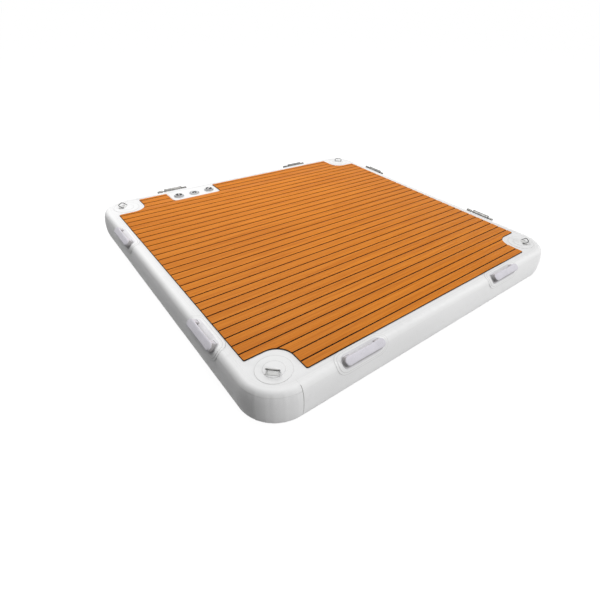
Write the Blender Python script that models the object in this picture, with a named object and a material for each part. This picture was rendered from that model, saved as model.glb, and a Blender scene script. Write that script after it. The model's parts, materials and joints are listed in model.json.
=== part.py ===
"""Inflatable swim platform: a square drop-stitch float with a boarded foam deck, three valves, corner
D-rings, carry handles and pin couplings. Metres, +Z up, origin under the middle of the float."""
import bpy
import bmesh
from math import atan2, ceil, cos, pi, radians, sin, sqrt
from mathutils import Matrix, Vector

# Clearances, and how meshes are made
GAP = 0.0003
RUNNING_GAP = 0.0005
MERGE_DISTANCE = 0.000003
LEAST_PLACE_STEP = 0.0028
SHARP_ANGLE = 35
OUTLINE_STEPS = 24

# Float: a flat square whose side wall bulges out all round
FLOAT_SIDE = 2.05
FLOAT_THICKNESS = 0.17
CORNER_RADIUS = 0.18
WALL_BULGE = 0.035
BULGE_POWER = 2.4
SKIN_THICKNESS = 0.0012
CORNER_STEPS = 7
WALL_ANGLES = list(range(90, -91, -15))

# Seam tapes and the lap where the wall's ends meet
TAPE_THICKNESS = 0.0008
TAPE_LAP = 0.016
TAPE_END_ANGLE = 45
TAPE_FLOOR_ANGLE = -75
LAP_WIDTH = 0.022
LAP_THICKNESS = 0.0012
LAP_END_GAP = 0.0015

# Rows of yarn that tie the skins together, on their woven base cloth
BASE_CLOTH_THICKNESS = 0.0006
YARN_ROW_PITCH = 0.0575
YARN_ROW_THICKNESS = 0.0008
YARN_ROW_END_GAP = 0.012

# Deck of foam boards on a dark base sheet
DECK_MARGIN = 0.072
DECK_BASE_THICKNESS = 0.0025
BOARD_THICKNESS = 0.0032
BOARD_EDGE_STEP = 0.0015
BOARD_PITCH = 0.0574
FIRST_BOARD_WIDTH = 0.0425
GROOVE_WIDTH = 0.0055
GROOVE_FLOOR = 0.0006
NARROWEST_BOARD = 0.012
NOTCH_CORNER_RADIUS = 0.085
NOTCH_MOUTH_RADIUS = 0.008
NOTCH_CLEARANCE = 0.0265

# Valves
VALVE_ROW_INSET = 0.149
VALVE_ROW_FROM_LEFT = 0.597
VALVE_SPACING = 0.109
VALVE_SIDE_CLEARANCE = 0.025
VALVE_FRONT_CLEARANCE = 0.034
VALVE_NOTCH_RADIUS = 0.032
PANEL_THICKNESS = 0.0012
PANEL_MARGIN = 0.006
PANEL_RADIUS = 0.028
PANEL_BACK_CLEARANCE = 0.006
GASKET_THICKNESS = 0.0008
GASKET_INSET = 0.002
FLANGE_RADIUS = 0.034
FLANGE_HEIGHT = 0.0055
FLANGE_CHAMFER = 0.0018
NECK_RADIUS = 0.0215
NECK_DEPTH = 0.028
BORE_RADIUS = 0.017
SEAT_RADIUS = 0.010
SEAT_DEPTH = 0.008
SEAT_THICKNESS = 0.002
CAGE_LIP_RADIUS = 0.006
CAGE_LIP_THICKNESS = 0.002
NUT_WALL = 0.0085
NUT_HEIGHT = 0.008
VALVE_STEPS = 20
SMALL_STEPS = 12

# Sprung plunger of an inflation valve, and the relief valve's poppet
STEM_RADIUS = 0.0028
BUTTON_RADIUS = 0.005
BUTTON_THICKNESS = 0.002
BUTTON_HEIGHT = 0.0048
DISC_RADIUS = 0.0135
DISC_THICKNESS = 0.002
POPPET_RADIUS = 0.0128
POPPET_NUB_HEIGHT = 0.002
POPPET_STEM_LENGTH = 0.013
WASHER_RADIUS = 0.0145
WASHER_THICKNESS = 0.0018
SPRING_RADIUS = 0.0085
RELIEF_SPRING_RADIUS = 0.0125
SPRING_WIRE_RADIUS = 0.0007
SPRING_TURNS = 4
SPRING_POINTS_PER_TURN = 9

# Cap and tether
CAP_PLUG_DEPTH = 0.0025
CAP_LIP_RADIUS = 0.0235
CAP_LIP_THICKNESS = 0.0010
CAP_WAIST_RADIUS = 0.0208
CAP_TOP_RADIUS = 0.0250
CAP_TOP_THICKNESS = 0.0022
CAP_CHAMFER = 0.0007
CAP_BAR_LENGTH = 0.038
CAP_BAR_WIDTH = 0.0055
CAP_BAR_HEIGHT = 0.0055
LEFT_CAP_BAR_ANGLE = 72
RIGHT_CAP_BAR_ANGLE = 38
TETHER_THICKNESS = 0.0014
TETHER_RING_WIDTH = 0.0048
TETHER_STRAP_WIDTH = 0.009
TETHER_ROLL_RADIUS = 0.0018
TETHER_PIVOT_REACH = 0.0295
TRUNNION_RADIUS = 0.0011
TRUNNION_LENGTH = 0.0022
EAR_WIDTH = 0.0026
EAR_LENGTH = 0.0050
EAR_TOP = 0.0014

# Corner D-rings
PATCH_RADIUS = 0.075
PATCH_THICKNESS = 0.0010
PATCH_TAPE_GAP = 0.004
TOP_PATCH_RADIUS = 0.045
PATCH_STEPS = 24
RING_WIRE_RADIUS = 0.0025
RING_WIDTH = 0.051
RING_HEIGHT = 0.034
RING_FOOT_RADIUS = 0.004
RING_HEAD_RADIUS = 0.013
RING_OFFSET = 0.008
RING_LEANS = {"far": 70, "left": 66, "near": 47, "right": 66}
EYE_STEPS = 8
WEB_THICKNESS = 0.0013
WEB_CLEARANCE = 0.0005
TAB_LENGTH = 0.026
TAB_FLARE = 0.010

# Carry handles
HANDLE_NEAR_INSET = 0.485
HANDLE_FAR_INSET = 0.540
HANDLE_PATCH_LENGTH = 0.280
HANDLE_PATCH_WIDTH = 0.112
HANDLE_DECK_GAP = 0.002
HANDLE_PATCH_STEP = 0.011
HANDLE_PATCH_END_STEPS = 4
GRIP_LENGTH = 0.215
GRIP_WIDTH = 0.040
GRIP_THICKNESS = 0.009
GRIP_RISE = 0.017
GRIP_LEG = 0.040
GRIP_RAMP = 0.006
GRIP_BASE_THICKNESS = 0.003
GRIP_BASE_SIDE = 0.012
GRIP_BASE_END = 0.003
GRIP_END_WIDTH_SHARES = (0.34, 0.60, 0.82, 0.95, 1.0)
GRIP_FLOOR_SHARES = (-1.0, -0.5, 0.0, 0.5, 1.0)
GRIP_FACE_SHARES = ((1.0, 0.62), (0.72, 1.0), (-0.72, 1.0), (-1.0, 0.62))

# Pin couplings
COUPLING_BACK_INSET = 0.505
COUPLING_NEAR_INSET = 0.534
COUPLING_FAR_INSET = 0.460
COUPLING_PAD_LENGTH = 0.150
COUPLING_PAD_WIDTH = 0.064
COUPLING_PAD_RADIUS = 0.012
COUPLING_PAD_CORNER_STEPS = 2
BARREL_RADIUS = 0.0145
BARREL_LENGTH = 0.120
BARREL_CHAMFER = 0.0015
BARREL_LIFT = 0.0015
FOOT_LENGTH = 0.090
FOOT_WIDTH = 0.012
PIN_RADIUS = 0.0068
PIN_CLEARANCE = 0.0003
PIN_TAIL = 0.036
PIN_NECK = 0.015
PIN_NECK_RADIUS = 0.0040
KNOB_LENGTH = 0.034
KNOB_RADIUS = 0.0085
PIN_CHAMFER = 0.0015
PIN_STEPS = 16

COLOURS = {
    "white_pvc": ((0.86, 0.86, 0.87), 0.35, 0.0),
    "white_tape": ((0.90, 0.90, 0.90), 0.40, 0.0),
    "yarn": ((0.80, 0.80, 0.78), 0.80, 0.0),
    "dark_foam": ((0.035, 0.030, 0.028), 0.80, 0.0),
    "teak_foam": ((0.62, 0.25, 0.045), 0.75, 0.0),
    "valve_grey": ((0.30, 0.31, 0.31), 0.45, 0.0),
    "cap_grey": ((0.45, 0.46, 0.46), 0.40, 0.0),
    "black_rubber": ((0.03, 0.03, 0.03), 0.60, 0.0),
    "steel": ((0.60, 0.60, 0.60), 0.25, 1.0),
    "spring_steel": ((0.50, 0.50, 0.52), 0.30, 1.0),
    "grip_grey": ((0.70, 0.69, 0.74), 0.70, 0.0),
    "webbing": ((0.74, 0.74, 0.72), 0.80, 0.0),
}

HALF_SIDE = FLOAT_SIDE / 2
TOP = FLOAT_THICKNESS


def clear_scene():
    """Empty the file this runs in."""
    for old in list(bpy.data.objects):
        bpy.data.objects.remove(old, do_unlink=True)


def material(name):
    """One Principled material per finish, made on first use."""
    found = bpy.data.materials.get(name)
    if found:
        return found
    colour, roughness, metallic = COLOURS[name]
    made = bpy.data.materials.new(name)
    made.use_nodes = True
    shader = made.node_tree.nodes["Principled BSDF"]
    shader.inputs["Base Color"].default_value = (*colour, 1.0)
    shader.inputs["Roughness"].default_value = roughness
    shader.inputs["Metallic"].default_value = metallic
    return made


def empty(name, location, turn=0.0, parent=None):
    """A carrier for the pieces of one side, corner or valve."""
    carrier = bpy.data.objects.new(name, None)
    bpy.context.scene.collection.objects.link(carrier)
    carrier.location = location
    carrier.rotation_euler = (0.0, 0.0, turn)
    carrier.parent = parent
    return carrier


def piece(name, data, finish, location=(0, 0, 0), rotation=(0, 0, 0), parent=None, smooth=False):
    """Put one sub-part in the scene."""
    obj = bpy.data.objects.new(name, data)
    bpy.context.scene.collection.objects.link(obj)
    obj.location = location
    obj.rotation_euler = rotation
    obj.parent = parent
    if not data.materials:
        data.materials.append(material(finish))
    if smooth:
        data.shade_smooth()
        data.set_sharp_from_angle(angle=radians(SHARP_ANGLE))
    return obj


def finish_mesh(bm, name):
    """Faces outwards, then a mesh."""
    bmesh.ops.recalc_face_normals(bm, faces=bm.faces[:])
    mesh = bpy.data.meshes.new(name)
    bm.to_mesh(mesh)
    bm.free()
    return mesh


def join_meshes(name, meshes):
    """Several closed bodies kept apart in one mesh."""
    bm = bmesh.new()
    for mesh in meshes:
        bm.from_mesh(mesh)
        bpy.data.meshes.remove(mesh)
    return finish_mesh(bm, name)


def prism(name, outline, low, high):
    """A flat outline raised from one height to another."""
    bm = bmesh.new()
    base = bm.faces.new([bm.verts.new((x, y, low)) for x, y in outline])
    raised = bmesh.ops.extrude_face_region(bm, geom=[base])
    tops = [v for v in raised["geom"] if isinstance(v, bmesh.types.BMVert)]
    bmesh.ops.translate(bm, verts=tops, vec=(0, 0, high - low))
    return finish_mesh(bm, name)


def block(name, size, centre=(0, 0, 0)):
    """A box of the given size about its centre."""
    bm = bmesh.new()
    bmesh.ops.create_cube(bm, size=1, matrix=Matrix.Translation(centre) @ Matrix.Diagonal((*size, 1)))
    return finish_mesh(bm, name)


def turned(name, profile, steps, closed=True):
    """A turned shape from (radius, height) points; an open profile starts and ends on the axis."""
    bm = bmesh.new()
    verts = [bm.verts.new((r, 0, z)) for r, z in profile]
    pairs = list(zip(verts, verts[1:]))
    if closed:
        pairs.append((verts[-1], verts[0]))
    edges = [bm.edges.new(pair) for pair in pairs]
    bmesh.ops.spin(bm, geom=verts + edges, cent=(0, 0, 0), axis=(0, 0, 1), angle=2 * pi,
                   steps=steps, use_merge=True)
    bmesh.ops.remove_doubles(bm, verts=bm.verts[:], dist=MERGE_DISTANCE)
    return finish_mesh(bm, name)


def loft(name, rings, closed=False):
    """Skin over rings of points: capped at both ends, or closed on itself."""
    bm = bmesh.new()
    loops = [[bm.verts.new(p) for p in ring] for ring in rings]
    count = len(loops[0])
    following = list(zip(loops, loops[1:]))
    if closed:
        following.append((loops[-1], loops[0]))
    for a, b in following:
        for i in range(count):
            j = (i + 1) % count
            bm.faces.new((a[i], a[j], b[j], b[i]))
    if not closed:
        bm.faces.new(loops[0])
        bm.faces.new(loops[-1])
    return finish_mesh(bm, name)


def modified(name, mesh, cutters=(), operation="DIFFERENCE"):
    """Apply exact Booleans and return the resulting mesh."""
    work = bpy.data.objects.new(name + "_work", mesh)
    bpy.context.scene.collection.objects.link(work)
    tools = []
    for tool_mesh in cutters:
        tool = bpy.data.objects.new(name + "_tool", tool_mesh)
        tool.hide_render = True
        tool.display_type = "WIRE"
        bpy.context.scene.collection.objects.link(tool)
        cut = work.modifiers.new("cut", "BOOLEAN")
        cut.operation = operation
        cut.solver = "EXACT"
        cut.object = tool
        tools.append(tool)
    bpy.context.view_layer.update()
    graph = bpy.context.evaluated_depsgraph_get()
    result = bpy.data.meshes.new_from_object(work.evaluated_get(graph))
    result.name = name
    for used in [work] + tools:
        bpy.data.objects.remove(used, do_unlink=True)
    return result


def cylinder_along(name, radius, start, end, steps, axis, at=(0, 0)):
    """A plain cylinder along an axis, through the point at in the other two axes."""
    mesh = turned(name, [(0, start), (radius, start), (radius, end), (0, end)], steps, closed=False)
    u, v = at
    if axis == "X":
        mesh.transform(Matrix.Translation((0, u, v)) @ Matrix.Rotation(pi / 2, 4, "Y"))
    elif axis == "Y":
        mesh.transform(Matrix.Translation((u, 0, v)) @ Matrix.Rotation(-pi / 2, 4, "X"))
    else:
        mesh.transform(Matrix.Translation((u, v, 0)))
    return mesh


def tube(name, points, radius, cyclic):
    """Round wire along points, as a curve with a bevel."""
    curve = bpy.data.curves.new(name, "CURVE")
    curve.dimensions = "3D"
    spline = curve.splines.new("POLY")
    spline.points.add(len(points) - 1)
    for place, point in zip(spline.points, points):
        place.co = (*point, 1.0)
    spline.use_cyclic_u = cyclic
    curve.bevel_depth = radius
    curve.bevel_resolution = 1
    curve.use_fill_caps = not cyclic
    return curve


def arc(centre, radius, start, end, steps):
    """Points on an arc, angles in radians."""
    return [(centre[0] + radius * cos(start + (end - start) * i / steps),
             centre[1] + radius * sin(start + (end - start) * i / steps)) for i in range(steps + 1)]


def rounded(corners):
    """An outline from (x, y, radius) corners, each rounded by its radius."""
    outline = []
    count = len(corners)
    for i, (x, y, radius) in enumerate(corners):
        here = Vector((x, y))
        back = (Vector(corners[i - 1][:2]) - here).normalized()
        ahead = (Vector(corners[(i + 1) % count][:2]) - here).normalized()
        half = back.angle(ahead) / 2
        middle = here + (back + ahead).normalized() * radius / sin(half)
        first = here + back * radius / (sin(half) / cos(half))
        last = here + ahead * radius / (sin(half) / cos(half))
        a = atan2(first.y - middle.y, first.x - middle.x)
        b = atan2(last.y - middle.y, last.x - middle.x)
        sweep = (b - a + pi) % (2 * pi) - pi
        steps = max(2, ceil(abs(sweep) / (2 * pi) * OUTLINE_STEPS))
        outline += arc(middle, radius, a, a + sweep, steps)
    return outline


def float_outline(offset):
    """The float's rounded square, a given distance inside its outermost face."""
    half = HALF_SIDE - offset
    radius = CORNER_RADIUS - offset
    inner = half - radius
    points = []
    for quarter, (sx, sy) in enumerate(((1, 1), (-1, 1), (-1, -1), (1, -1))):
        start = quarter * pi / 2
        points += arc((sx * inner, sy * inner), radius, start, start + pi / 2, CORNER_STEPS)
    return points


def wall_point(angle):
    """A point of the wall's bulge as (out, height); out is 0 at its outermost line."""
    c, s = cos(radians(angle)), sin(radians(angle))
    share = 2 / BULGE_POWER
    rise = abs(s) ** share * (1 if s >= 0 else -1)
    return Vector((-WALL_BULGE * (1 - abs(c) ** share), TOP / 2 * (1 + rise)))


class Girth:
    """The float's section as a run of flats: down from the top skin and round the side wall.

    A place on it is the distance from the rim, where the top skin meets the wall; places on the top
    skin are negative. A lift is the height above the surface."""

    def __init__(self):
        wall = [wall_point(a) for a in WALL_ANGLES]
        flat = Vector((-DECK_MARGIN, TOP))
        self.points = [flat] + wall
        self.places = [-(wall[0] - flat).length]
        for a, b in zip(self.points, self.points[1:]):
            self.places.append(self.places[-1] + (b - a).length)
        self.normals = []
        for a, b in zip(self.points, self.points[1:]):
            run = (b - a).normalized()
            self.normals.append(Vector((-run.y, run.x)))

    def place_of(self, angle):
        return self.places[1 + WALL_ANGLES.index(angle)]

    def corner(self, i, lift):
        """Vertex i moved off the surface by lift, measured square to both flats."""
        before = self.normals[max(i - 1, 0)]
        after = self.normals[min(i, len(self.normals) - 1)]
        mean = (before + after).normalized()
        return self.points[i] + mean * lift / mean.dot(after)

    def at(self, place, lift=0.0):
        """The point (out, height) at a place and a lift."""
        i = 0
        while i < len(self.normals) - 1 and place > self.places[i + 1]:
            i += 1
        share = (place - self.places[i]) / (self.places[i + 1] - self.places[i])
        return self.corner(i, lift).lerp(self.corner(i + 1, lift), share)

    def between(self, start, end):
        """The two places and the corners between them."""
        return [start] + [p for p in self.places if start < p < end] + [end]

    def flat_middle(self, angle):
        """Middle and normal of the flat that starts at an angle."""
        i = 1 + WALL_ANGLES.index(angle)
        return (self.places[i] + self.places[i + 1]) / 2, self.normals[i]


GIRTH = Girth()


def ring_band(name, section):
    """A closed section of (out, height) points carried all round the float."""
    return loft(name, [[(x, y, p.y) for x, y in float_outline(-p.x)] for p in section], closed=True)


def edge_patch(name, places_and_halves, low, high):
    """A sheet on the wall's shoulder: at each place it reaches half its length to both ends."""
    rings = []
    for place, half in places_and_halves:
        under = GIRTH.at(place, low)
        over = GIRTH.at(place, high)
        rings.append([(-half, -under.x, under.y), (half, -under.x, under.y),
                      (half, -over.x, over.y), (-half, -over.x, over.y)])
    return loft(name, rings)


def sheet_places(length, width, middle, corner_radius, steps):
    """Places across a sheet with rounded corners, and half its length at each."""
    reach = width / 2 - corner_radius
    places = set(GIRTH.between(middle - width / 2, middle + width / 2))
    for i in range(steps + 1):
        offset = reach + corner_radius * sin(pi / 2 * i / steps)
        for place in (middle - offset, middle + offset):
            if min(abs(place - p) for p in places) > LEAST_PLACE_STEP:
                places.add(place)
    halves = []
    for place in sorted(places):
        past = max(0.0, abs(place - middle) - reach)
        inset = corner_radius - sqrt(max(0.0, corner_radius ** 2 - past ** 2))
        halves.append((place, length / 2 - inset))
    return halves


# Places that follow from the sizes above
DECK_HALF = HALF_SIDE - DECK_MARGIN
TAPE_CLEAR = GAP + TAPE_THICKNESS + GAP
HANDLE_PLACE = HANDLE_PATCH_WIDTH / 2 - (DECK_MARGIN - WALL_BULGE - HANDLE_DECK_GAP)
HANDLE_TOP = TAPE_CLEAR + 2 * PATCH_THICKNESS
RING_PLACE = (HALF_SIDE - CORNER_RADIUS
              + (CORNER_RADIUS - WALL_BULGE - TAPE_LAP - PATCH_TAPE_GAP - PATCH_RADIUS) / sqrt(2))
NOTCH_PLACE = RING_PLACE - PATCH_RADIUS - NOTCH_CLEARANCE
VALVE_X = VALVE_ROW_FROM_LEFT - HALF_SIDE
VALVE_Y = HALF_SIDE - VALVE_ROW_INSET
VALVE_NOTCH_HALF = VALVE_SPACING + FLANGE_RADIUS + VALVE_SIDE_CLEARANCE
VALVE_NOTCH_Y = VALVE_Y - FLANGE_RADIUS - VALVE_FRONT_CLEARANCE
PANEL_TOP = TOP + GAP + PANEL_THICKNESS
FLANGE_BOTTOM = PANEL_TOP + GAP + GASKET_THICKNESS + GAP
SEAT_TOP = FLANGE_HEIGHT - SEAT_DEPTH
SEAT_BOTTOM = SEAT_TOP - SEAT_THICKNESS
TETHER_LOW = FLANGE_HEIGHT + GAP + CAP_LIP_THICKNESS + GAP
PIVOT_HEIGHT = TETHER_LOW + TETHER_THICKNESS / 2
VALVE_PLACES = {"left_valve": VALVE_X - VALVE_SPACING, "relief_valve": VALVE_X,
                "right_valve": VALVE_X + VALVE_SPACING}
NECK_HOLES = [(x, VALVE_Y) for x in VALVE_PLACES.values()]


def neck_cutters(low, high):
    """Round cutters for the three valve necks."""
    return [cylinder_along("neck_hole", NECK_RADIUS + GAP, low, high, VALVE_STEPS, "Z", place)
            for place in NECK_HOLES]


def girth_section(start, end, low, high):
    """A closed section that follows the float's surface between two places and two lifts."""
    places = GIRTH.between(start, end)
    return [GIRTH.at(p, low) for p in places] + [GIRTH.at(p, high) for p in reversed(places)]


def build_skins():
    """The two flat skins; the top one is pierced for the valves."""
    outline = float_outline(WALL_BULGE + GAP)
    top = prism("top_skin", outline, TOP - SKIN_THICKNESS, TOP)
    over = SKIN_THICKNESS
    top = modified("top_skin", top, neck_cutters(TOP - SKIN_THICKNESS - over, TOP + over))
    piece("top_skin", top, "white_pvc")
    piece("bottom_skin", prism("bottom_skin", outline, 0, SKIN_THICKNESS), "white_pvc")


def lap_mesh(start, end):
    """Where the wall strip's outer end laps over its inner end, on the facet next to the near corner."""
    rings = []
    straight_start = 3 * (CORNER_STEPS + 1) - 1
    for place in GIRTH.between(start, end):
        ring = []
        for lift in (-SKIN_THICKNESS / 2, LAP_THICKNESS):
            point = GIRTH.at(place, lift)
            outline = float_outline(-point.x)
            edge = Vector(outline[straight_start])
            run = Vector(outline[straight_start - 1]) - edge
            other = edge + run.normalized() * LAP_WIDTH
            pair = [(*edge, point.y), (*other, point.y)]
            ring += pair if lift < 0 else pair[::-1]
        rings.append(ring)
    return loft("lap", rings)


def build_wall():
    """The side wall with its lapped end, and the two seam tapes."""
    outer = [GIRTH.corner(i, 0) for i in range(1, len(GIRTH.points))]
    inner = [GIRTH.corner(i, -SKIN_THICKNESS) for i in range(2, len(GIRTH.points) - 1)]
    inner = ([outer[0] - Vector((0, SKIN_THICKNESS))] + inner
             + [outer[-1] + Vector((0, SKIN_THICKNESS))])
    wall = ring_band("side_wall", outer + inner[::-1])
    tape_end = GIRTH.place_of(TAPE_END_ANGLE)
    tape_start = GIRTH.place_of(-TAPE_END_ANGLE)
    lap = lap_mesh(tape_end + LAP_END_GAP, tape_start - LAP_END_GAP)
    piece("side_wall", modified("side_wall", wall, [lap], "UNION"), "white_pvc", smooth=True)

    upper = girth_section(-TAPE_LAP, tape_end, GAP, GAP + TAPE_THICKNESS)
    piece("upper_seam_tape", ring_band("upper_seam_tape", upper), "white_tape", smooth=True)
    lower = girth_section(tape_start, GIRTH.place_of(TAPE_FLOOR_ANGLE), GAP, GAP + TAPE_THICKNESS)
    piece("lower_seam_tape", ring_band("lower_seam_tape", lower), "white_tape", smooth=True)


def build_yarn():
    """Upright rows of yarn on their base cloth, short of the valves' inner parts."""
    low = SKIN_THICKNESS + GAP
    cloth_high = low + BASE_CLOTH_THICKNESS
    high = TOP - SKIN_THICKNESS - GAP
    edge = WALL_BULGE + YARN_ROW_END_GAP
    radius = CORNER_RADIUS - edge
    inner = HALF_SIDE - CORNER_RADIUS
    front = edge - HALF_SIDE
    back = VALVE_Y - NECK_RADIUS - GAP - NUT_WALL - YARN_ROW_END_GAP
    row_low = cloth_high - BASE_CLOTH_THICKNESS / 2
    rows = []
    for k in range(ceil(front / YARN_ROW_PITCH), int(back / YARN_ROW_PITCH) + 1):
        y = k * YARN_ROW_PITCH
        past = max(0.0, abs(y) - inner)
        half = inner + sqrt(max(0.0, radius ** 2 - past ** 2)) - YARN_ROW_END_GAP
        size = (2 * half, YARN_ROW_THICKNESS, high - row_low)
        rows.append(block("row", size, (0, y, (row_low + high) / 2)))
    cloth = prism("cloth", float_outline(edge), low, cloth_high)
    yarn = modified("yarn_rows", cloth, [join_meshes("rows", rows)], "UNION")
    piece("yarn_rows", yarn, "yarn")


def deck_outline(step):
    """The deck's outline, a step inside the base sheet's edge, with its five cut-outs."""
    edge = DECK_HALF - step
    notch = NOTCH_PLACE - step
    mouth = NOTCH_MOUTH_RADIUS
    right = VALVE_X + VALVE_NOTCH_HALF + step
    left = VALVE_X - VALVE_NOTCH_HALF - step
    front = VALVE_NOTCH_Y - step
    corner = [(edge, notch, mouth), (notch, notch, NOTCH_CORNER_RADIUS), (notch, edge, mouth)]
    corners = corner + [(right, edge, mouth), (right, front, VALVE_NOTCH_RADIUS),
                        (left, front, VALVE_NOTCH_RADIUS), (left, edge, mouth)]
    for _ in range(3):
        corner = [(-y, x, radius) for x, y, radius in corner]
        corners += corner
    return rounded(corners)


def build_deck():
    """The dark base sheet, and the top sheet that grooves divide into boards."""
    base_low = TOP + GAP
    board_low = base_low + DECK_BASE_THICKNESS + GAP
    board_high = board_low + BOARD_THICKNESS
    base = prism("deck_base", deck_outline(0.0), base_low, base_low + DECK_BASE_THICKNESS)
    piece("deck_base", base, "dark_foam")

    groove_low = board_low + GROOVE_FLOOR
    groove_high = board_high + BOARD_THICKNESS
    grooves = []
    y = FIRST_BOARD_WIDTH - DECK_HALF
    while y < DECK_HALF - NARROWEST_BOARD:
        size = (2 * HALF_SIDE, GROOVE_WIDTH, groove_high - groove_low)
        grooves.append(block("groove", size, (0, y, (groove_low + groove_high) / 2)))
        y += BOARD_PITCH
    sheet = prism("deck_boards", deck_outline(BOARD_EDGE_STEP), board_low, board_high)
    boards = modified("deck_boards", sheet, [join_meshes("grooves", grooves)])
    piece("deck_boards", boards, "teak_foam")


def build_valve_panel():
    """The reinforcing panel that the three valves pass through."""
    back = HALF_SIDE - WALL_BULGE - TAPE_LAP - PANEL_BACK_CLEARANCE
    front = VALVE_NOTCH_Y + PANEL_MARGIN
    half = VALVE_NOTCH_HALF - PANEL_MARGIN
    outline = rounded([(VALVE_X + half, front, PANEL_RADIUS), (VALVE_X + half, back, PANEL_RADIUS),
                       (VALVE_X - half, back, PANEL_RADIUS), (VALVE_X - half, front, PANEL_RADIUS)])
    over = PANEL_THICKNESS
    panel = prism("valve_panel", outline, TOP + GAP, PANEL_TOP)
    panel = modified("valve_panel", panel, neck_cutters(TOP + GAP - over, PANEL_TOP + over))
    piece("valve_panel", panel, "white_pvc")


def neck_ring(name, width, low, high):
    """A flat ring round a valve's neck."""
    inner = NECK_RADIUS + GAP
    outer = inner + width
    return turned(name, [(outer, high), (outer, low), (inner, low), (inner, high)], VALVE_STEPS)


def build_valve_body(name, with_ears):
    """Gasket, collar and clamp nut of one valve, on a carrier at the flange's underside."""
    seat = empty(name, (VALVE_PLACES[name], VALVE_Y, FLANGE_BOTTOM))
    gasket_width = FLANGE_RADIUS - GASKET_INSET - NECK_RADIUS
    gasket = neck_ring(name + "_gasket", gasket_width, -GAP - GASKET_THICKNESS, -GAP)
    piece(name + "_gasket", gasket, "black_rubber", parent=seat, smooth=True)
    nut_high = TOP - SKIN_THICKNESS - GAP - FLANGE_BOTTOM
    nut = neck_ring(name + "_clamp_nut", NUT_WALL, nut_high - NUT_HEIGHT, nut_high)
    piece(name + "_clamp_nut", nut, "valve_grey", parent=seat, smooth=True)
    collar = collar_mesh(name + "_collar", with_ears)
    piece(name + "_collar", collar, "valve_grey", parent=seat, smooth=True)
    return seat


def collar_mesh(name, with_ears):
    """Valve body: flange, neck, bore, seat and a caged bottom; ears carry the cap's tether."""
    chamber_low = CAGE_LIP_THICKNESS - NECK_DEPTH
    mesh = turned(name, [
        (FLANGE_RADIUS, 0), (FLANGE_RADIUS, FLANGE_HEIGHT - FLANGE_CHAMFER),
        (FLANGE_RADIUS - FLANGE_CHAMFER, FLANGE_HEIGHT), (BORE_RADIUS, FLANGE_HEIGHT),
        (BORE_RADIUS, SEAT_TOP), (SEAT_RADIUS, SEAT_TOP), (SEAT_RADIUS, SEAT_BOTTOM),
        (BORE_RADIUS, SEAT_BOTTOM), (BORE_RADIUS, chamber_low), (CAGE_LIP_RADIUS, chamber_low),
        (CAGE_LIP_RADIUS, -NECK_DEPTH), (NECK_RADIUS, -NECK_DEPTH), (NECK_RADIUS, 0)], VALVE_STEPS)
    if not with_ears:
        return mesh
    sunk = FLANGE_HEIGHT - FLANGE_CHAMFER / 2
    ear_high = PIVOT_HEIGHT + TRUNNION_RADIUS + EAR_TOP
    ears = []
    for side in (-1, 1):
        x = side * (TETHER_STRAP_WIDTH / 2 + GAP + EAR_WIDTH / 2)
        centre = (x, TETHER_PIVOT_REACH, (sunk + ear_high) / 2)
        ears.append(block("ear", (EAR_WIDTH, EAR_LENGTH, ear_high - sunk), centre))
    mesh = modified(name, mesh, ears, "UNION")
    reach = TETHER_STRAP_WIDTH / 2 + GAP + 2 * EAR_WIDTH
    hole = cylinder_along("pivot_hole", (TRUNNION_RADIUS + GAP) / cos(pi / SMALL_STEPS), -reach, reach,
                          SMALL_STEPS, "X", (TETHER_PIVOT_REACH, PIVOT_HEIGHT))
    return modified(name, mesh, [hole])


def spring_curve(name, radius, low, high):
    """An open coil between two seats."""
    start = low + GAP + SPRING_WIRE_RADIUS
    rise = high - GAP - SPRING_WIRE_RADIUS - start
    count = SPRING_TURNS * SPRING_POINTS_PER_TURN
    points = []
    for i in range(count + 1):
        turn = 2 * pi * i / SPRING_POINTS_PER_TURN
        points.append((radius * cos(turn), radius * sin(turn), start + rise * i / count))
    return tube(name, points, SPRING_WIRE_RADIUS, cyclic=False)


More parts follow.
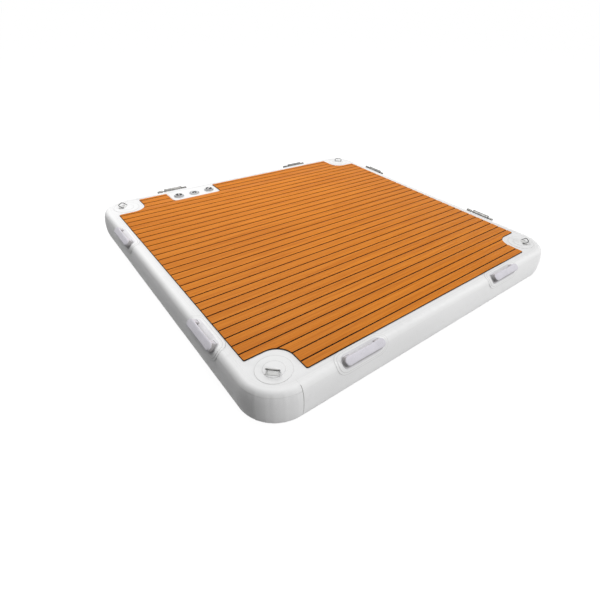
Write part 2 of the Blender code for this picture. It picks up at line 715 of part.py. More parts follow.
def build_inflation_valve(name, bar_angle):
    """Collar, sprung plunger, spring, and a cap that twists in its tether's ring."""
    seat = build_valve_body(name, with_ears=True)
    disc_high = SEAT_BOTTOM - GAP
    disc_low = disc_high - DISC_THICKNESS
    button_high = SEAT_TOP + BUTTON_HEIGHT
    button_low = button_high - BUTTON_THICKNESS
    plunger = turned(name + "_plunger", [
        (0, button_high), (BUTTON_RADIUS, button_high), (BUTTON_RADIUS, button_low),
        (STEM_RADIUS, button_low), (STEM_RADIUS, disc_high), (DISC_RADIUS, disc_high),
        (DISC_RADIUS, disc_low), (0, disc_low)], SMALL_STEPS, closed=False)
    piece(name + "_plunger", plunger, "cap_grey", parent=seat, smooth=True)
    cage_floor = CAGE_LIP_THICKNESS - NECK_DEPTH
    spring = spring_curve(name + "_spring", SPRING_RADIUS, cage_floor, disc_low)
    piece(name + "_spring", spring, "spring_steel", parent=seat)

    lip_low = FLANGE_HEIGHT + GAP
    lip_high = lip_low + CAP_LIP_THICKNESS
    top_low = TETHER_LOW + TETHER_THICKNESS + GAP
    top_high = top_low + CAP_TOP_THICKNESS
    plug_radius = BORE_RADIUS - RUNNING_GAP
    plug_low = FLANGE_HEIGHT - CAP_PLUG_DEPTH
    cap = turned(name + "_cap", [
        (0, plug_low), (plug_radius, plug_low), (plug_radius, lip_low), (CAP_LIP_RADIUS, lip_low),
        (CAP_LIP_RADIUS, lip_high), (CAP_WAIST_RADIUS, lip_high), (CAP_WAIST_RADIUS, top_low),
        (CAP_TOP_RADIUS, top_low), (CAP_TOP_RADIUS, top_high - CAP_CHAMFER),
        (CAP_TOP_RADIUS - CAP_CHAMFER, top_high), (0, top_high)], VALVE_STEPS, closed=False)
    bar_low = top_high - CAP_TOP_THICKNESS / 2
    bar_high = top_high + CAP_BAR_HEIGHT
    bar = block("bar", (CAP_BAR_LENGTH, CAP_BAR_WIDTH, bar_high - bar_low),
                (0, 0, (bar_low + bar_high) / 2))
    cap = modified(name + "_cap", cap, [bar], "UNION")
    piece(name + "_cap", cap, "cap_grey", rotation=(0, 0, radians(bar_angle)), parent=seat, smooth=True)

    ring_inner = CAP_WAIST_RADIUS + RUNNING_GAP
    ring_outer = ring_inner + TETHER_RING_WIDTH
    tether_high = TETHER_LOW + TETHER_THICKNESS
    tether = turned(name + "_tether", [(ring_outer, tether_high), (ring_outer, TETHER_LOW),
                                       (ring_inner, TETHER_LOW), (ring_inner, tether_high)], VALVE_STEPS)
    strap_start = ring_outer - TETHER_RING_WIDTH / 2
    strap = block("strap", (TETHER_STRAP_WIDTH, TETHER_PIVOT_REACH - strap_start, TETHER_THICKNESS),
                  (0, (TETHER_PIVOT_REACH + strap_start) / 2, PIVOT_HEIGHT))
    half = TETHER_STRAP_WIDTH / 2
    reach = half + TRUNNION_LENGTH
    pivot = (TETHER_PIVOT_REACH, PIVOT_HEIGHT)
    roll = cylinder_along("roll", TETHER_ROLL_RADIUS, -half, half, SMALL_STEPS, "X", pivot)
    pins = cylinder_along("pins", TRUNNION_RADIUS, -reach, reach, SMALL_STEPS, "X", pivot)
    tether = modified(name + "_tether", tether, [strap, roll, pins], "UNION")
    tether.transform(Matrix.Translation((0, -TETHER_PIVOT_REACH, -PIVOT_HEIGHT)))
    piece(name + "_tether", tether, "valve_grey", location=(0, *pivot), parent=seat, smooth=True)


def build_relief_valve(name):
    """Collar with a poppet that a spring under the seat pulls shut."""
    seat = build_valve_body(name, with_ears=False)
    disc_low = SEAT_TOP + GAP
    disc_high = disc_low + DISC_THICKNESS
    nub_high = disc_high + POPPET_NUB_HEIGHT
    washer_low = SEAT_BOTTOM - POPPET_STEM_LENGTH
    washer_high = washer_low + WASHER_THICKNESS
    poppet = turned(name + "_poppet", [
        (0, nub_high), (STEM_RADIUS, nub_high), (STEM_RADIUS, disc_high), (POPPET_RADIUS, disc_high),
        (POPPET_RADIUS, disc_low), (STEM_RADIUS, disc_low), (STEM_RADIUS, washer_high),
        (WASHER_RADIUS, washer_high), (WASHER_RADIUS, washer_low), (0, washer_low)],
        SMALL_STEPS, closed=False)
    piece(name + "_poppet", poppet, "cap_grey", parent=seat, smooth=True)
    spring = spring_curve(name + "_spring", RELIEF_SPRING_RADIUS, washer_high, SEAT_BOTTOM)
    piece(name + "_spring", spring, "spring_steel", parent=seat)


def build_corner(name, quarter):
    """A stepped round patch, a folded webbing tab and the D-ring that swings in it."""
    turn = pi / 4 + quarter * pi / 2
    place = (RING_PLACE * sqrt(2) * cos(turn), RING_PLACE * sqrt(2) * sin(turn), TOP)
    corner = empty("corner_" + name, place, turn)
    step = GAP + PATCH_THICKNESS
    patch_high = step + PATCH_THICKNESS
    patch = turned("d_ring_patch", [
        (0, patch_high), (TOP_PATCH_RADIUS, patch_high), (TOP_PATCH_RADIUS, step), (PATCH_RADIUS, step),
        (PATCH_RADIUS, GAP), (0, GAP)], PATCH_STEPS, closed=False)
    piece("d_ring_patch_" + name, patch, "white_tape", parent=corner)

    low = patch_high + GAP
    eye = RING_WIRE_RADIUS + WEB_CLEARANCE
    outer = eye + WEB_THICKNESS
    hinge = low + outer
    tail_top = low + 2 * WEB_THICKNESS
    fold = 2 * outer
    side = [(fold, low), (TAB_LENGTH, low), (TAB_LENGTH, tail_top), (fold, tail_top)]
    side += arc((0, hinge), outer, pi / 4, 3 * pi / 2, EYE_STEPS)
    near_half = RING_WIDTH / 2 - RING_FOOT_RADIUS - WEB_CLEARANCE
    slope = TAB_FLARE / (TAB_LENGTH - fold)
    rings = [[(x, hand * (near_half + slope * max(0.0, x - fold)), z) for x, z in side]
             for hand in (-1, 1)]
    reach = near_half + TAB_FLARE
    hole = cylinder_along("eye", eye / cos(pi / SMALL_STEPS), -reach, reach, SMALL_STEPS, "Y", (0, hinge))
    tab = modified("d_ring_tab_" + name, loft("tab", rings), [hole])
    piece("d_ring_tab_" + name, tab, "webbing", location=(RING_OFFSET, 0, 0), parent=corner)

    half = RING_WIDTH / 2
    outline = rounded([(half, 0, RING_FOOT_RADIUS), (half, RING_HEIGHT, RING_HEAD_RADIUS),
                       (-half, RING_HEIGHT, RING_HEAD_RADIUS), (-half, 0, RING_FOOT_RADIUS)])
    ring = tube("d_ring_" + name, [(0, y, z) for y, z in outline], RING_WIRE_RADIUS, cyclic=True)
    piece("d_ring_" + name, ring, "steel", location=(RING_OFFSET, 0, hinge),
          rotation=(0, radians(RING_LEANS[name]), 0), parent=corner)


def grip_stations():
    """Places along a grip, its half width there, and whether it stands on its base there."""
    half_length = GRIP_LENGTH / 2
    half_width = GRIP_WIDTH / 2
    stations = []
    for share in GRIP_END_WIDTH_SHARES:
        inset = half_width * (1 - sqrt(1 - share ** 2))
        stations.append((half_length - inset, half_width * share, True))
    stations.append((half_length - GRIP_LEG, half_width, True))
    stations.append((half_length - GRIP_LEG - GRIP_RAMP, half_width, False))
    return [(-s, half, stands) for s, half, stands in stations] + stations[::-1]


def grip_mesh(name):
    """A padded band on two legs, with a finger tunnel between them, on a base pad."""
    upper = GIRTH.at(HANDLE_PLACE - GRIP_WIDTH / 2, HANDLE_TOP)
    lower = GIRTH.at(HANDLE_PLACE + GRIP_WIDTH / 2, HANDLE_TOP)
    across = (lower - upper).normalized()
    outward = Vector((-across.y, across.x))
    origin = (upper + lower) / 2
    places = GIRTH.between(HANDLE_PLACE - GRIP_WIDTH / 2, HANDLE_PLACE + GRIP_WIDTH / 2)
    seat = max((GIRTH.at(p, HANDLE_TOP) - origin).dot(outward) for p in places) + GAP
    ceiling = seat + GRIP_RISE
    base_low = HANDLE_TOP + GAP
    rings = []
    for s, half, stands in grip_stations():
        ring = []
        for share in GRIP_FLOOR_SHARES:
            if stands:
                point = GIRTH.at(HANDLE_PLACE + half * share, base_low + GRIP_BASE_THICKNESS / 2)
            else:
                point = origin + across * half * share + outward * ceiling
            ring.append((s, -point.x, point.y))
        for share, up_share in GRIP_FACE_SHARES:
            point = origin + across * half * share + outward * (ceiling + GRIP_THICKNESS * up_share)
            ring.append((s, -point.x, point.y))
        rings.append(ring)
    base_width = GRIP_WIDTH + 2 * GRIP_BASE_SIDE
    base_places = sheet_places(GRIP_LENGTH + 2 * GRIP_BASE_END, base_width, HANDLE_PLACE, base_width / 2,
                               HANDLE_PATCH_END_STEPS)
    base = edge_patch("base", base_places, base_low, base_low + GRIP_BASE_THICKNESS)
    return modified(name, base, [loft("band", rings)], "UNION")


def handle_patch_mesh():
    """Two stadium sheets in one, the upper one smaller, bent over the float's shoulder."""
    sheets = []
    for step, low, high in ((0.0, TAPE_CLEAR, TAPE_CLEAR + PATCH_THICKNESS),
                            (HANDLE_PATCH_STEP, TAPE_CLEAR + PATCH_THICKNESS / 2, HANDLE_TOP)):
        width = HANDLE_PATCH_WIDTH - 2 * step
        length = HANDLE_PATCH_LENGTH - 2 * step
        places = sheet_places(length, width, HANDLE_PLACE, width / 2, HANDLE_PATCH_END_STEPS)
        sheets.append(edge_patch("sheet", places, low, high))
    return modified("handle_patch", sheets[0], sheets[1:], "UNION")


def build_handles():
    """Two handles on the front side and two on the left side."""
    front = empty("front_side", (0, 0, 0))
    left = empty("left_side", (0, 0, 0), -pi / 2)
    near = HALF_SIDE - HANDLE_NEAR_INSET
    far = HALF_SIDE - HANDLE_FAR_INSET
    for name, side, s in (("front_near", front, -near), ("front_far", front, far),
                          ("left_near", left, near), ("left_far", left, -far)):
        here = (s, -HALF_SIDE, 0)
        piece("handle_patch_" + name, handle_patch_mesh(), "white_tape", here, parent=side)
        piece("handle_grip_" + name, grip_mesh("handle_grip"), "grip_grey", here, parent=side,
              smooth=True)


def build_couplings():
    """Two pin couplings on the back edge and two on the right edge."""
    back = empty("back_side", (0, 0, 0), pi)
    right = empty("right_side", (0, 0, 0), pi / 2)
    middle, normal = GIRTH.flat_middle(60)
    foot_lift = TAPE_CLEAR + PATCH_THICKNESS + GAP
    centre = GIRTH.at(middle, foot_lift + BARREL_LIFT + BARREL_RADIUS)
    tilt = atan2(normal.x, normal.y)
    for name, side, s in (("back_left", back, HALF_SIDE - COUPLING_BACK_INSET),
                          ("back_right", back, COUPLING_BACK_INSET - HALF_SIDE),
                          ("right_far", right, HALF_SIDE - COUPLING_FAR_INSET),
                          ("right_near", right, COUPLING_NEAR_INSET - HALF_SIDE)):
        places = sheet_places(COUPLING_PAD_LENGTH, COUPLING_PAD_WIDTH, middle, COUPLING_PAD_RADIUS,
                              COUPLING_PAD_CORNER_STEPS)
        pad = edge_patch("coupling_pad", places, TAPE_CLEAR, TAPE_CLEAR + PATCH_THICKNESS)
        piece("coupling_pad_" + name, pad, "white_tape", (s, -HALF_SIDE, 0), parent=side)

        here = (s, -HALF_SIDE - centre.x, centre.y)
        half = BARREL_LENGTH / 2
        barrel = turned("barrel", [
            (0, half), (BARREL_RADIUS - BARREL_CHAMFER, half), (BARREL_RADIUS, half - BARREL_CHAMFER),
            (BARREL_RADIUS, BARREL_CHAMFER - half), (BARREL_RADIUS - BARREL_CHAMFER, -half),
            (0, -half)], PIN_STEPS, closed=False)
        barrel.transform(Matrix.Rotation(pi / 2, 4, "Y"))
        foot_low = -BARREL_RADIUS - BARREL_LIFT
        foot_high = -BARREL_RADIUS / 2
        foot = block("foot", (FOOT_LENGTH, FOOT_WIDTH, foot_high - foot_low),
                     (0, 0, (foot_low + foot_high) / 2))
        barrel = modified("barrel", barrel, [foot], "UNION")
        bore = cylinder_along("bore", (PIN_RADIUS + PIN_CLEARANCE) / cos(pi / PIN_STEPS),
                              -BARREL_LENGTH, BARREL_LENGTH, PIN_STEPS, "X")
        barrel = modified("barrel", barrel, [bore])
        piece("coupling_barrel_" + name, barrel, "steel", here, (tilt, 0, 0), side, smooth=True)

        tail = -half - PIN_TAIL
        knob_low = half + PIN_NECK
        knob_high = knob_low + KNOB_LENGTH
        pin = turned("pin", [
            (0, tail), (PIN_RADIUS - PIN_CHAMFER, tail), (PIN_RADIUS, tail + PIN_CHAMFER),
            (PIN_RADIUS, half), (PIN_NECK_RADIUS, half), (PIN_NECK_RADIUS, knob_low),
            (KNOB_RADIUS, knob_low), (KNOB_RADIUS, knob_high - PIN_CHAMFER),
            (KNOB_RADIUS - PIN_CHAMFER, knob_high), (0, knob_high)], PIN_STEPS, closed=False)
        pin.transform(Matrix.Rotation(pi / 2, 4, "Y"))
        piece("coupling_pin_" + name, pin, "steel", here, (tilt, 0, 0), side, smooth=True)


def main():
    clear_scene()
    build_skins()
    build_wall()
    build_yarn()
    build_deck()
    build_valve_panel()
    build_inflation_valve("left_valve", LEFT_CAP_BAR_ANGLE)
    build_inflation_valve("right_valve", RIGHT_CAP_BAR_ANGLE)
    build_relief_valve("relief_valve")
    for quarter, name in enumerate(("far", "left", "near", "right")):
        build_corner(name, quarter)
    build_handles()
    build_couplings()
    bpy.context.view_layer.update()


main()
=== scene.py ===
"""Looks of the inflatable swim platform, dressed on its fixed frame: coated hull with welded tapes and
patches, foam boards, padded grips, valves, D-rings and pin couplings. Metres, +Z up."""
import json
from math import atan2, ceil, cos, hypot, pi, radians, sin, sqrt, tan

import bmesh
import bpy
from bpy.props import FloatProperty, FloatVectorProperty, IntProperty, PointerProperty
from mathutils import Euler, Matrix, Vector
import numpy as np


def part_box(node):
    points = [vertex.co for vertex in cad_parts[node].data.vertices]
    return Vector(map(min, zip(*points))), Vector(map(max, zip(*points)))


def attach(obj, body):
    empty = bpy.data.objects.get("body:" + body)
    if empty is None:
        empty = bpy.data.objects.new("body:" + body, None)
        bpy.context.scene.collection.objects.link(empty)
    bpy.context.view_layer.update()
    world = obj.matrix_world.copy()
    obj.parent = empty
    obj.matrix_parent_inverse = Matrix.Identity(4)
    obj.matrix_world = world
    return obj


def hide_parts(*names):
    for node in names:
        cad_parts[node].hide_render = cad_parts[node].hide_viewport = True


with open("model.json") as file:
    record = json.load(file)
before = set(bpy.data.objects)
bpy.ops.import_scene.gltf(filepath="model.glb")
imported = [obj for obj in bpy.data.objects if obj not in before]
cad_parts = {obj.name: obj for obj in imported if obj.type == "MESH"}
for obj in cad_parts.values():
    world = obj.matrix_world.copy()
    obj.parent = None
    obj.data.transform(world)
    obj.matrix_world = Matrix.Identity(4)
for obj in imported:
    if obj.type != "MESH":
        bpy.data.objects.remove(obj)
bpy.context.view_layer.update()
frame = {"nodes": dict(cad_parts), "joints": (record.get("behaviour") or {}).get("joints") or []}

bl_info = {
    "name": "Inflatable swim platform",
    "version": (1, 0, 0),
    "blender": (4, 5, 0),
    "location": "View3D > Sidebar > Platform",
    "description": "Dresses the platform's frame with its hull, deck, grips, valves, rings and couplings",
    "category": "Object",
}

# Sizes that the frame gives
HALF_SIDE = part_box("side_wall")[1].x
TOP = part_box("side_wall")[1].z
SKIN_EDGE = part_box("top_skin")[1].x
BASE_LOW, BASE_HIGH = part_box("deck_base")
BOARD_LOW, BOARD_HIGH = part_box("deck_boards")
PANEL_LOW, PANEL_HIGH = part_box("valve_panel")
PATCH_LOW, PATCH_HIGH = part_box("d_ring_patch_far")
SEAT_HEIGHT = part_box("relief_valve_gasket")[1].z
FLANGE_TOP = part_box("relief_valve_collar")[1].z
JOINTS = {joint["name"]: joint for joint in frame["joints"]}
CORNERS = ("far", "left", "near", "right")
VALVES = ("left_valve", "relief_valve", "right_valve")
COUPLINGS = ("back_left", "back_right", "right_far", "right_near")

# Clearances and fineness
CLEARANCE = 0.0003
OVERRUN = 0.004
MERGE_DISTANCE = 0.000001
SMOOTH_ANGLE = 38
ROUND_STEPS = 72
WIRE_SIDES = 20
HOLE_STEPS = 24
PLUNGER_STEPS = 48
SMALL_STEPS = 32
FILLET_STEPS = 20
SECTION_STEPS = 45
SHOULDER_STEPS = 360
INNER_WALL_STEP = 15
CORNER_STEPS = 40
STRAIGHT_STEP = 0.016
SHEET_END_SHARE = 0.985
ROUND_PATCH_LINES = (40, 40)
LONG_PATCH_LINES = (44, 60)
PAD_LINES = (36, 48)

# Hull
SKIN_THICKNESS = 0.0012
TAPE_THICKNESS = 0.0008
TAPE_END_ANGLE = 45
TAPE_FLOOR_ANGLE = -75
TAPE_JOINT_LENGTH = 0.030
TAPE_BORDER = 0.0022
TAPE_INNER_MARK = 0.16
TAPE_OUTER_MARK = 0.08
TAPE_CORNER_MARK = 0.20
# Dark line beside the lap carried up over the upper tape: painted shadow at the foot of the lap's edge
TAPE_SHADE_LINE_ANGLE = 76
TAPE_SHADE_LINE_MARK = 0.75
TAPE_LAP_SHARE = 0.7
TAPE_LINES = 14
SEAM_PLACE = -0.005
SEAM_HALF = 0.0004
SEAM_MARK = 0.07
LAP_WIDTH = 0.022
LAP_THICKNESS = 0.0012
# Width of the dark line beside the lap: glue, and painted shadow of the lap's edge
LAP_LINE_WIDTH = 0.0026
LAP_SLOPE = 0.0004
LAP_RISE = 0.030
WALL_ANGLE = 80
SWELL_FADE = 0.030
PUCKER_LEAST_SHARE = 0.25
PUCKER_FADE = 4
PUCKER_SHIFT = 0.37
PUCKER_WAVES = ((7.3, 0.45, 0.10), (11.9, 0.35, 0.55), (17.0, 0.20, 0.83))
SWELL_WAVES = ((0.52, 0.6, 0.2), (0.31, 0.4, 0.7))

# Patches
PATCH_THICKNESS = 0.0010
PATCH_EDGE = 0.0007
PATCH_MARK = 0.28
PATCH_MARK_WIDTH = 0.0030
PATCH_SEAT = 2 * CLEARANCE + TAPE_THICKNESS
TOP_PATCH_SHARE = 0.6
HANDLE_PATCH_STEP = 0.011
HANDLE_DECK_GAP = 0.002
PAD_CORNER_RADIUS = 0.012
PANEL_RADIUS = 0.028
PANEL_MARGIN = 0.006

# Deck
NOTCH_CORNER_RADIUS = 0.085
NOTCH_MOUTH_RADIUS = 0.008
NOTCH_CLEARANCE = 0.0265
VALVE_NOTCH_RADIUS = 0.032
FIRST_BOARD_WIDTH = 0.0425
NARROWEST_BOARD = 0.012
BOARD_SKIN = 0.0007
BASE_EDGE = 0.0004

# Grips
HANDLE_PATCH_WIDTH = 0.112
GRIP_LENGTH = 0.215
GRIP_WIDTH = 0.040
GRIP_THICKNESS = 0.009
GRIP_RISE = 0.017
GRIP_LEG = 0.040
GRIP_RAMP = 0.006
GRIP_BASE_THICKNESS = 0.003
GRIP_SEAT = PATCH_SEAT + 2 * PATCH_THICKNESS
GRIP_BASE_LOW = GRIP_SEAT + CLEARANCE
GRIP_BASE_HIGH = GRIP_BASE_LOW + GRIP_BASE_THICKNESS
GRIP_BASE_SIDE = 0.012
GRIP_BASE_END = 0.003
GRIP_SINK = 0.0006
GRIP_INSET = 0.0005
GRIP_FACE_EDGE = 0.0045
GRIP_UNDER_EDGE = 0.0020
GRIP_CROWN = 0.0007
GRIP_VOXEL = 0.0022
GRIP_LINES = (34, 150)
GRIP_BASE_LINES = (64, 110)
GRIP_SEAT_STEPS = 24
# Painted shade on the grips' sides and finger tunnels, and painted shadow on their bases
GRIP_SHADE_SHARE = 0.75
GRIP_FAINT_SHADE = 0.2
GRIP_SHADE_WIDTH = 0.007
GRIP_MARK_WIDTH = 0.001
TUNNEL_END_SHADE = 1.2
TUNNEL_SHADE_FADE = 1.5
GRIP_FRAMES = 16
GRIP_CLOTH = {"quality": 4, "mass": 0.3, "tension_stiffness": 40, "compression_stiffness": 40,
              "bending_stiffness": 8, "use_pressure": True}
# Which end of each grip gets painted shade: the one toward the near corner
GRIP_SHADED_ENDS = {"front": -1, "left": 1}

# Corner rings and their tabs
RING_WIRE_RADIUS = 0.0025
RING_WIDTH = 0.051
RING_HEIGHT = 0.034
RING_FOOT_RADIUS = 0.004
RING_HEAD_RADIUS = 0.013
RING_LEANS = {"far": 70, "left": 66, "near": 47, "right": 66}
WEB_THICKNESS = 0.0013
WEB_CLEARANCE = 0.0005
TAB_LENGTH = 0.026
TAB_FLARE = 0.010
STITCH_ROWS = (0.0130, 0.0150, 0.0218, 0.0236)
STITCH_MARGIN = 0.003
STITCH_RADIUS_SHARE = 1 / 7
STITCH_LIFT_SHARE = 1 / 12
WEB_EDGE_SHARE = 0.35
WEB_EDGE_SLOPE = 6
WEB_STEPS = 10
TAB_STEPS = 12

# Valves
FLANGE_RADIUS = 0.034
FLANGE_SLOPE = 0.0022
FLANGE_EDGE_SHARE = 0.45
LAND_RADIUS = 0.0262
LAND_GROOVE = 0.0016
LAND_CHAMFER = 0.0012
LAND_SHADE_REACH = 0.0016
NECK_RADIUS = 0.0215
NECK_DEPTH = 0.028
BORE_RADIUS = 0.017
SEAT_RADIUS = 0.010
SEAT_DEPTH = 0.008
SEAT_THICKNESS = 0.002
CAGE_LIP_RADIUS = 0.006
CAGE_LIP_THICKNESS = 0.002
STEM_RADIUS = 0.0028
BUTTON_RADIUS = 0.005
BUTTON_THICKNESS = 0.002
BUTTON_HEIGHT = 0.0048
DISC_RADIUS = 0.0135
DISC_THICKNESS = 0.002
POPPET_RADIUS = 0.0128
POPPET_NUB_HEIGHT = 0.002
POPPET_STEM_LENGTH = 0.013
POPPET_NUB_TOP_SHARE = 1.3
POPPET_NUB_FOOT_SHARE = 1.5
WASHER_RADIUS = 0.0145
WASHER_THICKNESS = 0.0018
RUNNING_GAP = 0.0005
CAP_PLUG_DEPTH = 0.0025
CAP_LIP_RADIUS = 0.0235
CAP_LIP_THICKNESS = 0.0010
CAP_WAIST_RADIUS = 0.0208
CAP_TOP_RADIUS = 0.0250
CAP_TOP_THICKNESS = 0.0022
CAP_RIM_WIDTH = 0.0030
CAP_WELL_DEPTH = 0.0012
CAP_BAR_LENGTH = 0.038
CAP_BAR_WIDTH = 0.0055
CAP_BAR_HEIGHT = 0.0055
CAP_BAR_EDGE = 0.0012
CAP_BAR_END_SHARE = 0.98
CAP_BAR_ANGLES = {"left_valve": 72, "right_valve": 38}
TETHER_THICKNESS = 0.0014
TETHER_STRAP_SHARE = 0.98
TETHER_RING_WIDTH = 0.0048
TETHER_STRAP_WIDTH = 0.009
TETHER_ROLL_RADIUS = 0.0018
TETHER_PIVOT_REACH = 0.0295
TRUNNION_RADIUS = 0.0011
TRUNNION_LENGTH = 0.0022
EAR_WIDTH = 0.0026
EAR_LENGTH = 0.0050
EAR_TOP = 0.0014
SMALL_FILLET = 0.0006
RIB_WIDTH_SHARE = 2.4
RIB_HEIGHT_SHARE = 0.62

# Couplings
COUPLING_PAD_WIDTH = 0.064
COUPLING_ANGLES = (45, 60)
BARREL_RADIUS = 0.0145
BARREL_LENGTH = 0.120
BARREL_LIFT = 0.0015
BARREL_BAND = 0.012
BARREL_GROOVE = 0.0008
BARREL_EDGE = 0.0025
FOOT_LENGTH = 0.090
FOOT_WIDTH = 0.012
FOOT_TOP_SHARE = 0.6
PIN_RADIUS = 0.0068
PIN_CLEARANCE = 0.0003
PIN_TAIL = 0.036
PIN_NECK = 0.015
PIN_NECK_RADIUS = 0.0040
PIN_GROOVE = 0.0010
PIN_GROOVE_PLACE = 0.010
PIN_GROOVE_LENGTH = 0.0025
PIN_END_EDGE = 0.002
KNOB_LENGTH = 0.034
KNOB_RADIUS = 0.0085
KNOB_WAIST = 0.0010
KNOB_WAIST_RADIUS = 0.012
KNOB_NECK_EDGE = 0.0012
KNOB_END_EDGE = 0.0022
KNURL_SINK = 0.0008
KNURL_DEPTH = 0.0004
KNURL_WIDTH = 0.0009
KNURL_SHARE = 0.45

# Camera, fitted to the photograph's 600 x 600 frame
CAMERA_PLACE = (-1.4896, -1.9078, 1.3772)
CAMERA_TURN = (59.317, -2.959, -39.606)
SENSOR_WIDTH = 36.0
VIEW_DEPTH = 200.0
FRAME_WIDTH = 600
FOCAL_PIXELS = 429.6
PRINCIPAL_PIXEL = (339.4, 256.6)

# Lamps
LAMP_TARGET = (0, 0, 0.1)
TOP_LAMP_PLACE = (-0.2, 1.4, 4.1)
TOP_LAMP_SIZE = 3.0
KEY_LAMP_PLACE = (4.6, -13.2, 1.8)
KEY_LAMP_SIZE = 3.4

# Turn that lays a piece along X
LYING_DOWN = Matrix.Rotation(pi / 2, 4, "Y")


def length(name, description, default):
    """A property that holds a length."""
    return FloatProperty(name=name, description=description, default=default, unit="LENGTH", precision=4)


def tint(name, description, default):
    """A property that holds a colour."""
    return FloatVectorProperty(name=name, description=description, default=default, subtype="COLOR",
                               size=3, min=0.0, max=1.0)


class HullLooks(bpy.types.PropertyGroup):
    """The hull's sizes and colours."""
    corner_radius: length("Corner radius", "Radius of the hull's corners, seen from above", 0.18)
    wall_bulge: length("Wall bulge", "How far the side wall stands out past the flat skins",
                       HALF_SIDE - SKIN_EDGE - CLEARANCE)
    bulge_power: FloatProperty(name="Bulge power", description="Squareness of the side wall's section",
                               default=2.4)
    tape_reach: length("Tape reach", "How far the upper tape reaches onto the top skin", 0.016)
    pucker_depth: length("Pucker depth", "Depth of the wall's folds at the corners", 0.0011)
    swell_depth: length("Swell depth", "Depth of the slow waves along the wall", 0.0003)
    pvc: tint("Hull colour", "Coated fabric of the skins and wall", (0.92, 0.92, 0.922))
    tape: tint("Tape colour", "Coated tapes and patches", (0.93, 0.93, 0.93))
    # Glue at the edges of tapes and patches; beside the lap it is mostly painted shadow at the foot of the
    # lap's edge
    glue_and_shade: tint("Glue and shade colour", "Edges of tapes and patches", (0.20, 0.19, 0.18))


class DeckLooks(bpy.types.PropertyGroup):
    """The deck's sizes and colours."""
    pitch: length("Board pitch", "From one groove to the next", 0.0574)
    groove: length("Groove width", "Gap between two boards", 0.0070)
    edge: length("Board edge", "Rounding of each board's edges", 0.0004)
    teak_light: tint("Light grain", "Lighter streaks of the boards", (0.775, 0.262, 0.028))
    teak_dark: tint("Dark grain", "Darker streaks of the boards", (0.55, 0.157, 0.012))
    base: tint("Base sheet", "Dark foam under the boards", (0.020, 0.013, 0.010))


class GripLooks(bpy.types.PropertyGroup):
    """The grips' and tabs' sizes and colours."""
    puff: length("Puff", "How far the padding may swell", 0.0008)
    pressure: FloatProperty(name="Pressure", description="Pressure of the padding", default=4.0)
    pad: tint("Grip colour", "Padded grips", (0.74, 0.72, 0.775))
    base: tint("Grip base colour", "Padded bases under the grips", (0.82, 0.81, 0.835))
    # Painted shade on the grips' sides and tunnels, and painted shadow on their bases
    painted_grip_shade: tint("Painted grip shade", "Sides of the grips", (0.31, 0.30, 0.305))
    webbing: tint("Webbing colour", "Tabs that hold the D-rings", (0.84, 0.84, 0.83))
    thread: tint("Thread colour", "Stitches on the tabs", (0.86, 0.86, 0.85))
    stitch: length("Stitch length", "Length of one stitch", 0.0026)
    stitch_pitch: length("Stitch pitch", "From one stitch to the next", 0.0036)


class ValveLooks(bpy.types.PropertyGroup):
    """The valves' sizes and colours."""
    collar: tint("Collar colour", "Moulded collars and nuts", (0.69, 0.695, 0.695))
    cap: tint("Cap colour", "Moulded caps", (0.69, 0.695, 0.70))
    # The bars are the caps' nylon, painted lighter as a highlight
    bar: tint("Bar colour", "Grip bars of the caps", (0.80, 0.805, 0.81))
    # Painted shade in the collars' land grooves and bores; on the caps it also darkens the wells' own dark
    # floors
    well: tint("Well colour", "Sunk wells and grooves of the caps and collars", (0.030, 0.031, 0.033))
    rubber: tint("Rubber colour", "Gaskets and the relief disc", (0.012, 0.012, 0.012))
    ribs: IntProperty(name="Ribs", description="Ribs round a cap's rim", default=48, min=8)
    rib_depth: length("Rib depth", "How far a rib stands out", 0.0005)


class MetalLooks(bpy.types.PropertyGroup):
    """The steel's colours and finish."""
    steel: tint("Steel colour", "Barrels and pins", (0.25, 0.245, 0.235))
    ring: tint("Ring colour", "D-rings", (0.11, 0.109, 0.107))
    spring: tint("Spring colour", "Spring wire", (0.45, 0.45, 0.47))
    roughness: FloatProperty(name="Roughness", description="Roughness of the polished steel", default=0.42)
    knurls: IntProperty(name="Knurls", description="Ridges round a pin's knob", default=28, min=6)


class StageLooks(bpy.types.PropertyGroup):
    """Light and floor."""
    top_power: FloatProperty(name="Top power", description="Wide soft light overhead", default=133.0,
                             unit="POWER")
    key_power: FloatProperty(name="Key power", description="Distant soft light in front, low down",
                             default=1035.0, unit="POWER")
    sky: FloatProperty(name="Sky", description="Strength of the even light all round", default=0.35)
    floor_bounce: tint("Floor bounce", "What the floor throws back at the object", (0.030, 0.029, 0.028))
    floor_shade: tint("Floor shade", "How strongly the floor shows the object's shadow", (0.20, 0.20, 0.20))
    floor_glow: FloatProperty(name="Floor glow", description="Floor's brightness to the camera", default=0.93)
    floor_size: length("Floor size", "Side of the floor", 60.0)


class Value:
    """A socket in a node tree; sums and products of it add Math nodes."""

    def __init__(self, graph, socket):
        self.graph = graph
        self.socket = socket

    def math(self, operation, *others):
        values = dict(enumerate((self,) + others))
        return self.graph.node("ShaderNodeMath", {"operation": operation}, values)

    def reflected(self, operation, other):
        return self.graph.node("ShaderNodeMath", {"operation": operation}, {0: other, 1: self})

    def __add__(self, other):
        return self.math("ADD", other)

    __radd__ = __add__

    def __sub__(self, other):
        return self.math("SUBTRACT", other)

    def __rsub__(self, other):
        return self.reflected("SUBTRACT", other)

    def __mul__(self, other):
        return self.math("MULTIPLY", other)

    __rmul__ = __mul__

    def __truediv__(self, other):
        return self.math("DIVIDE", other)

    def __rtruediv__(self, other):
        return self.reflected("DIVIDE", other)


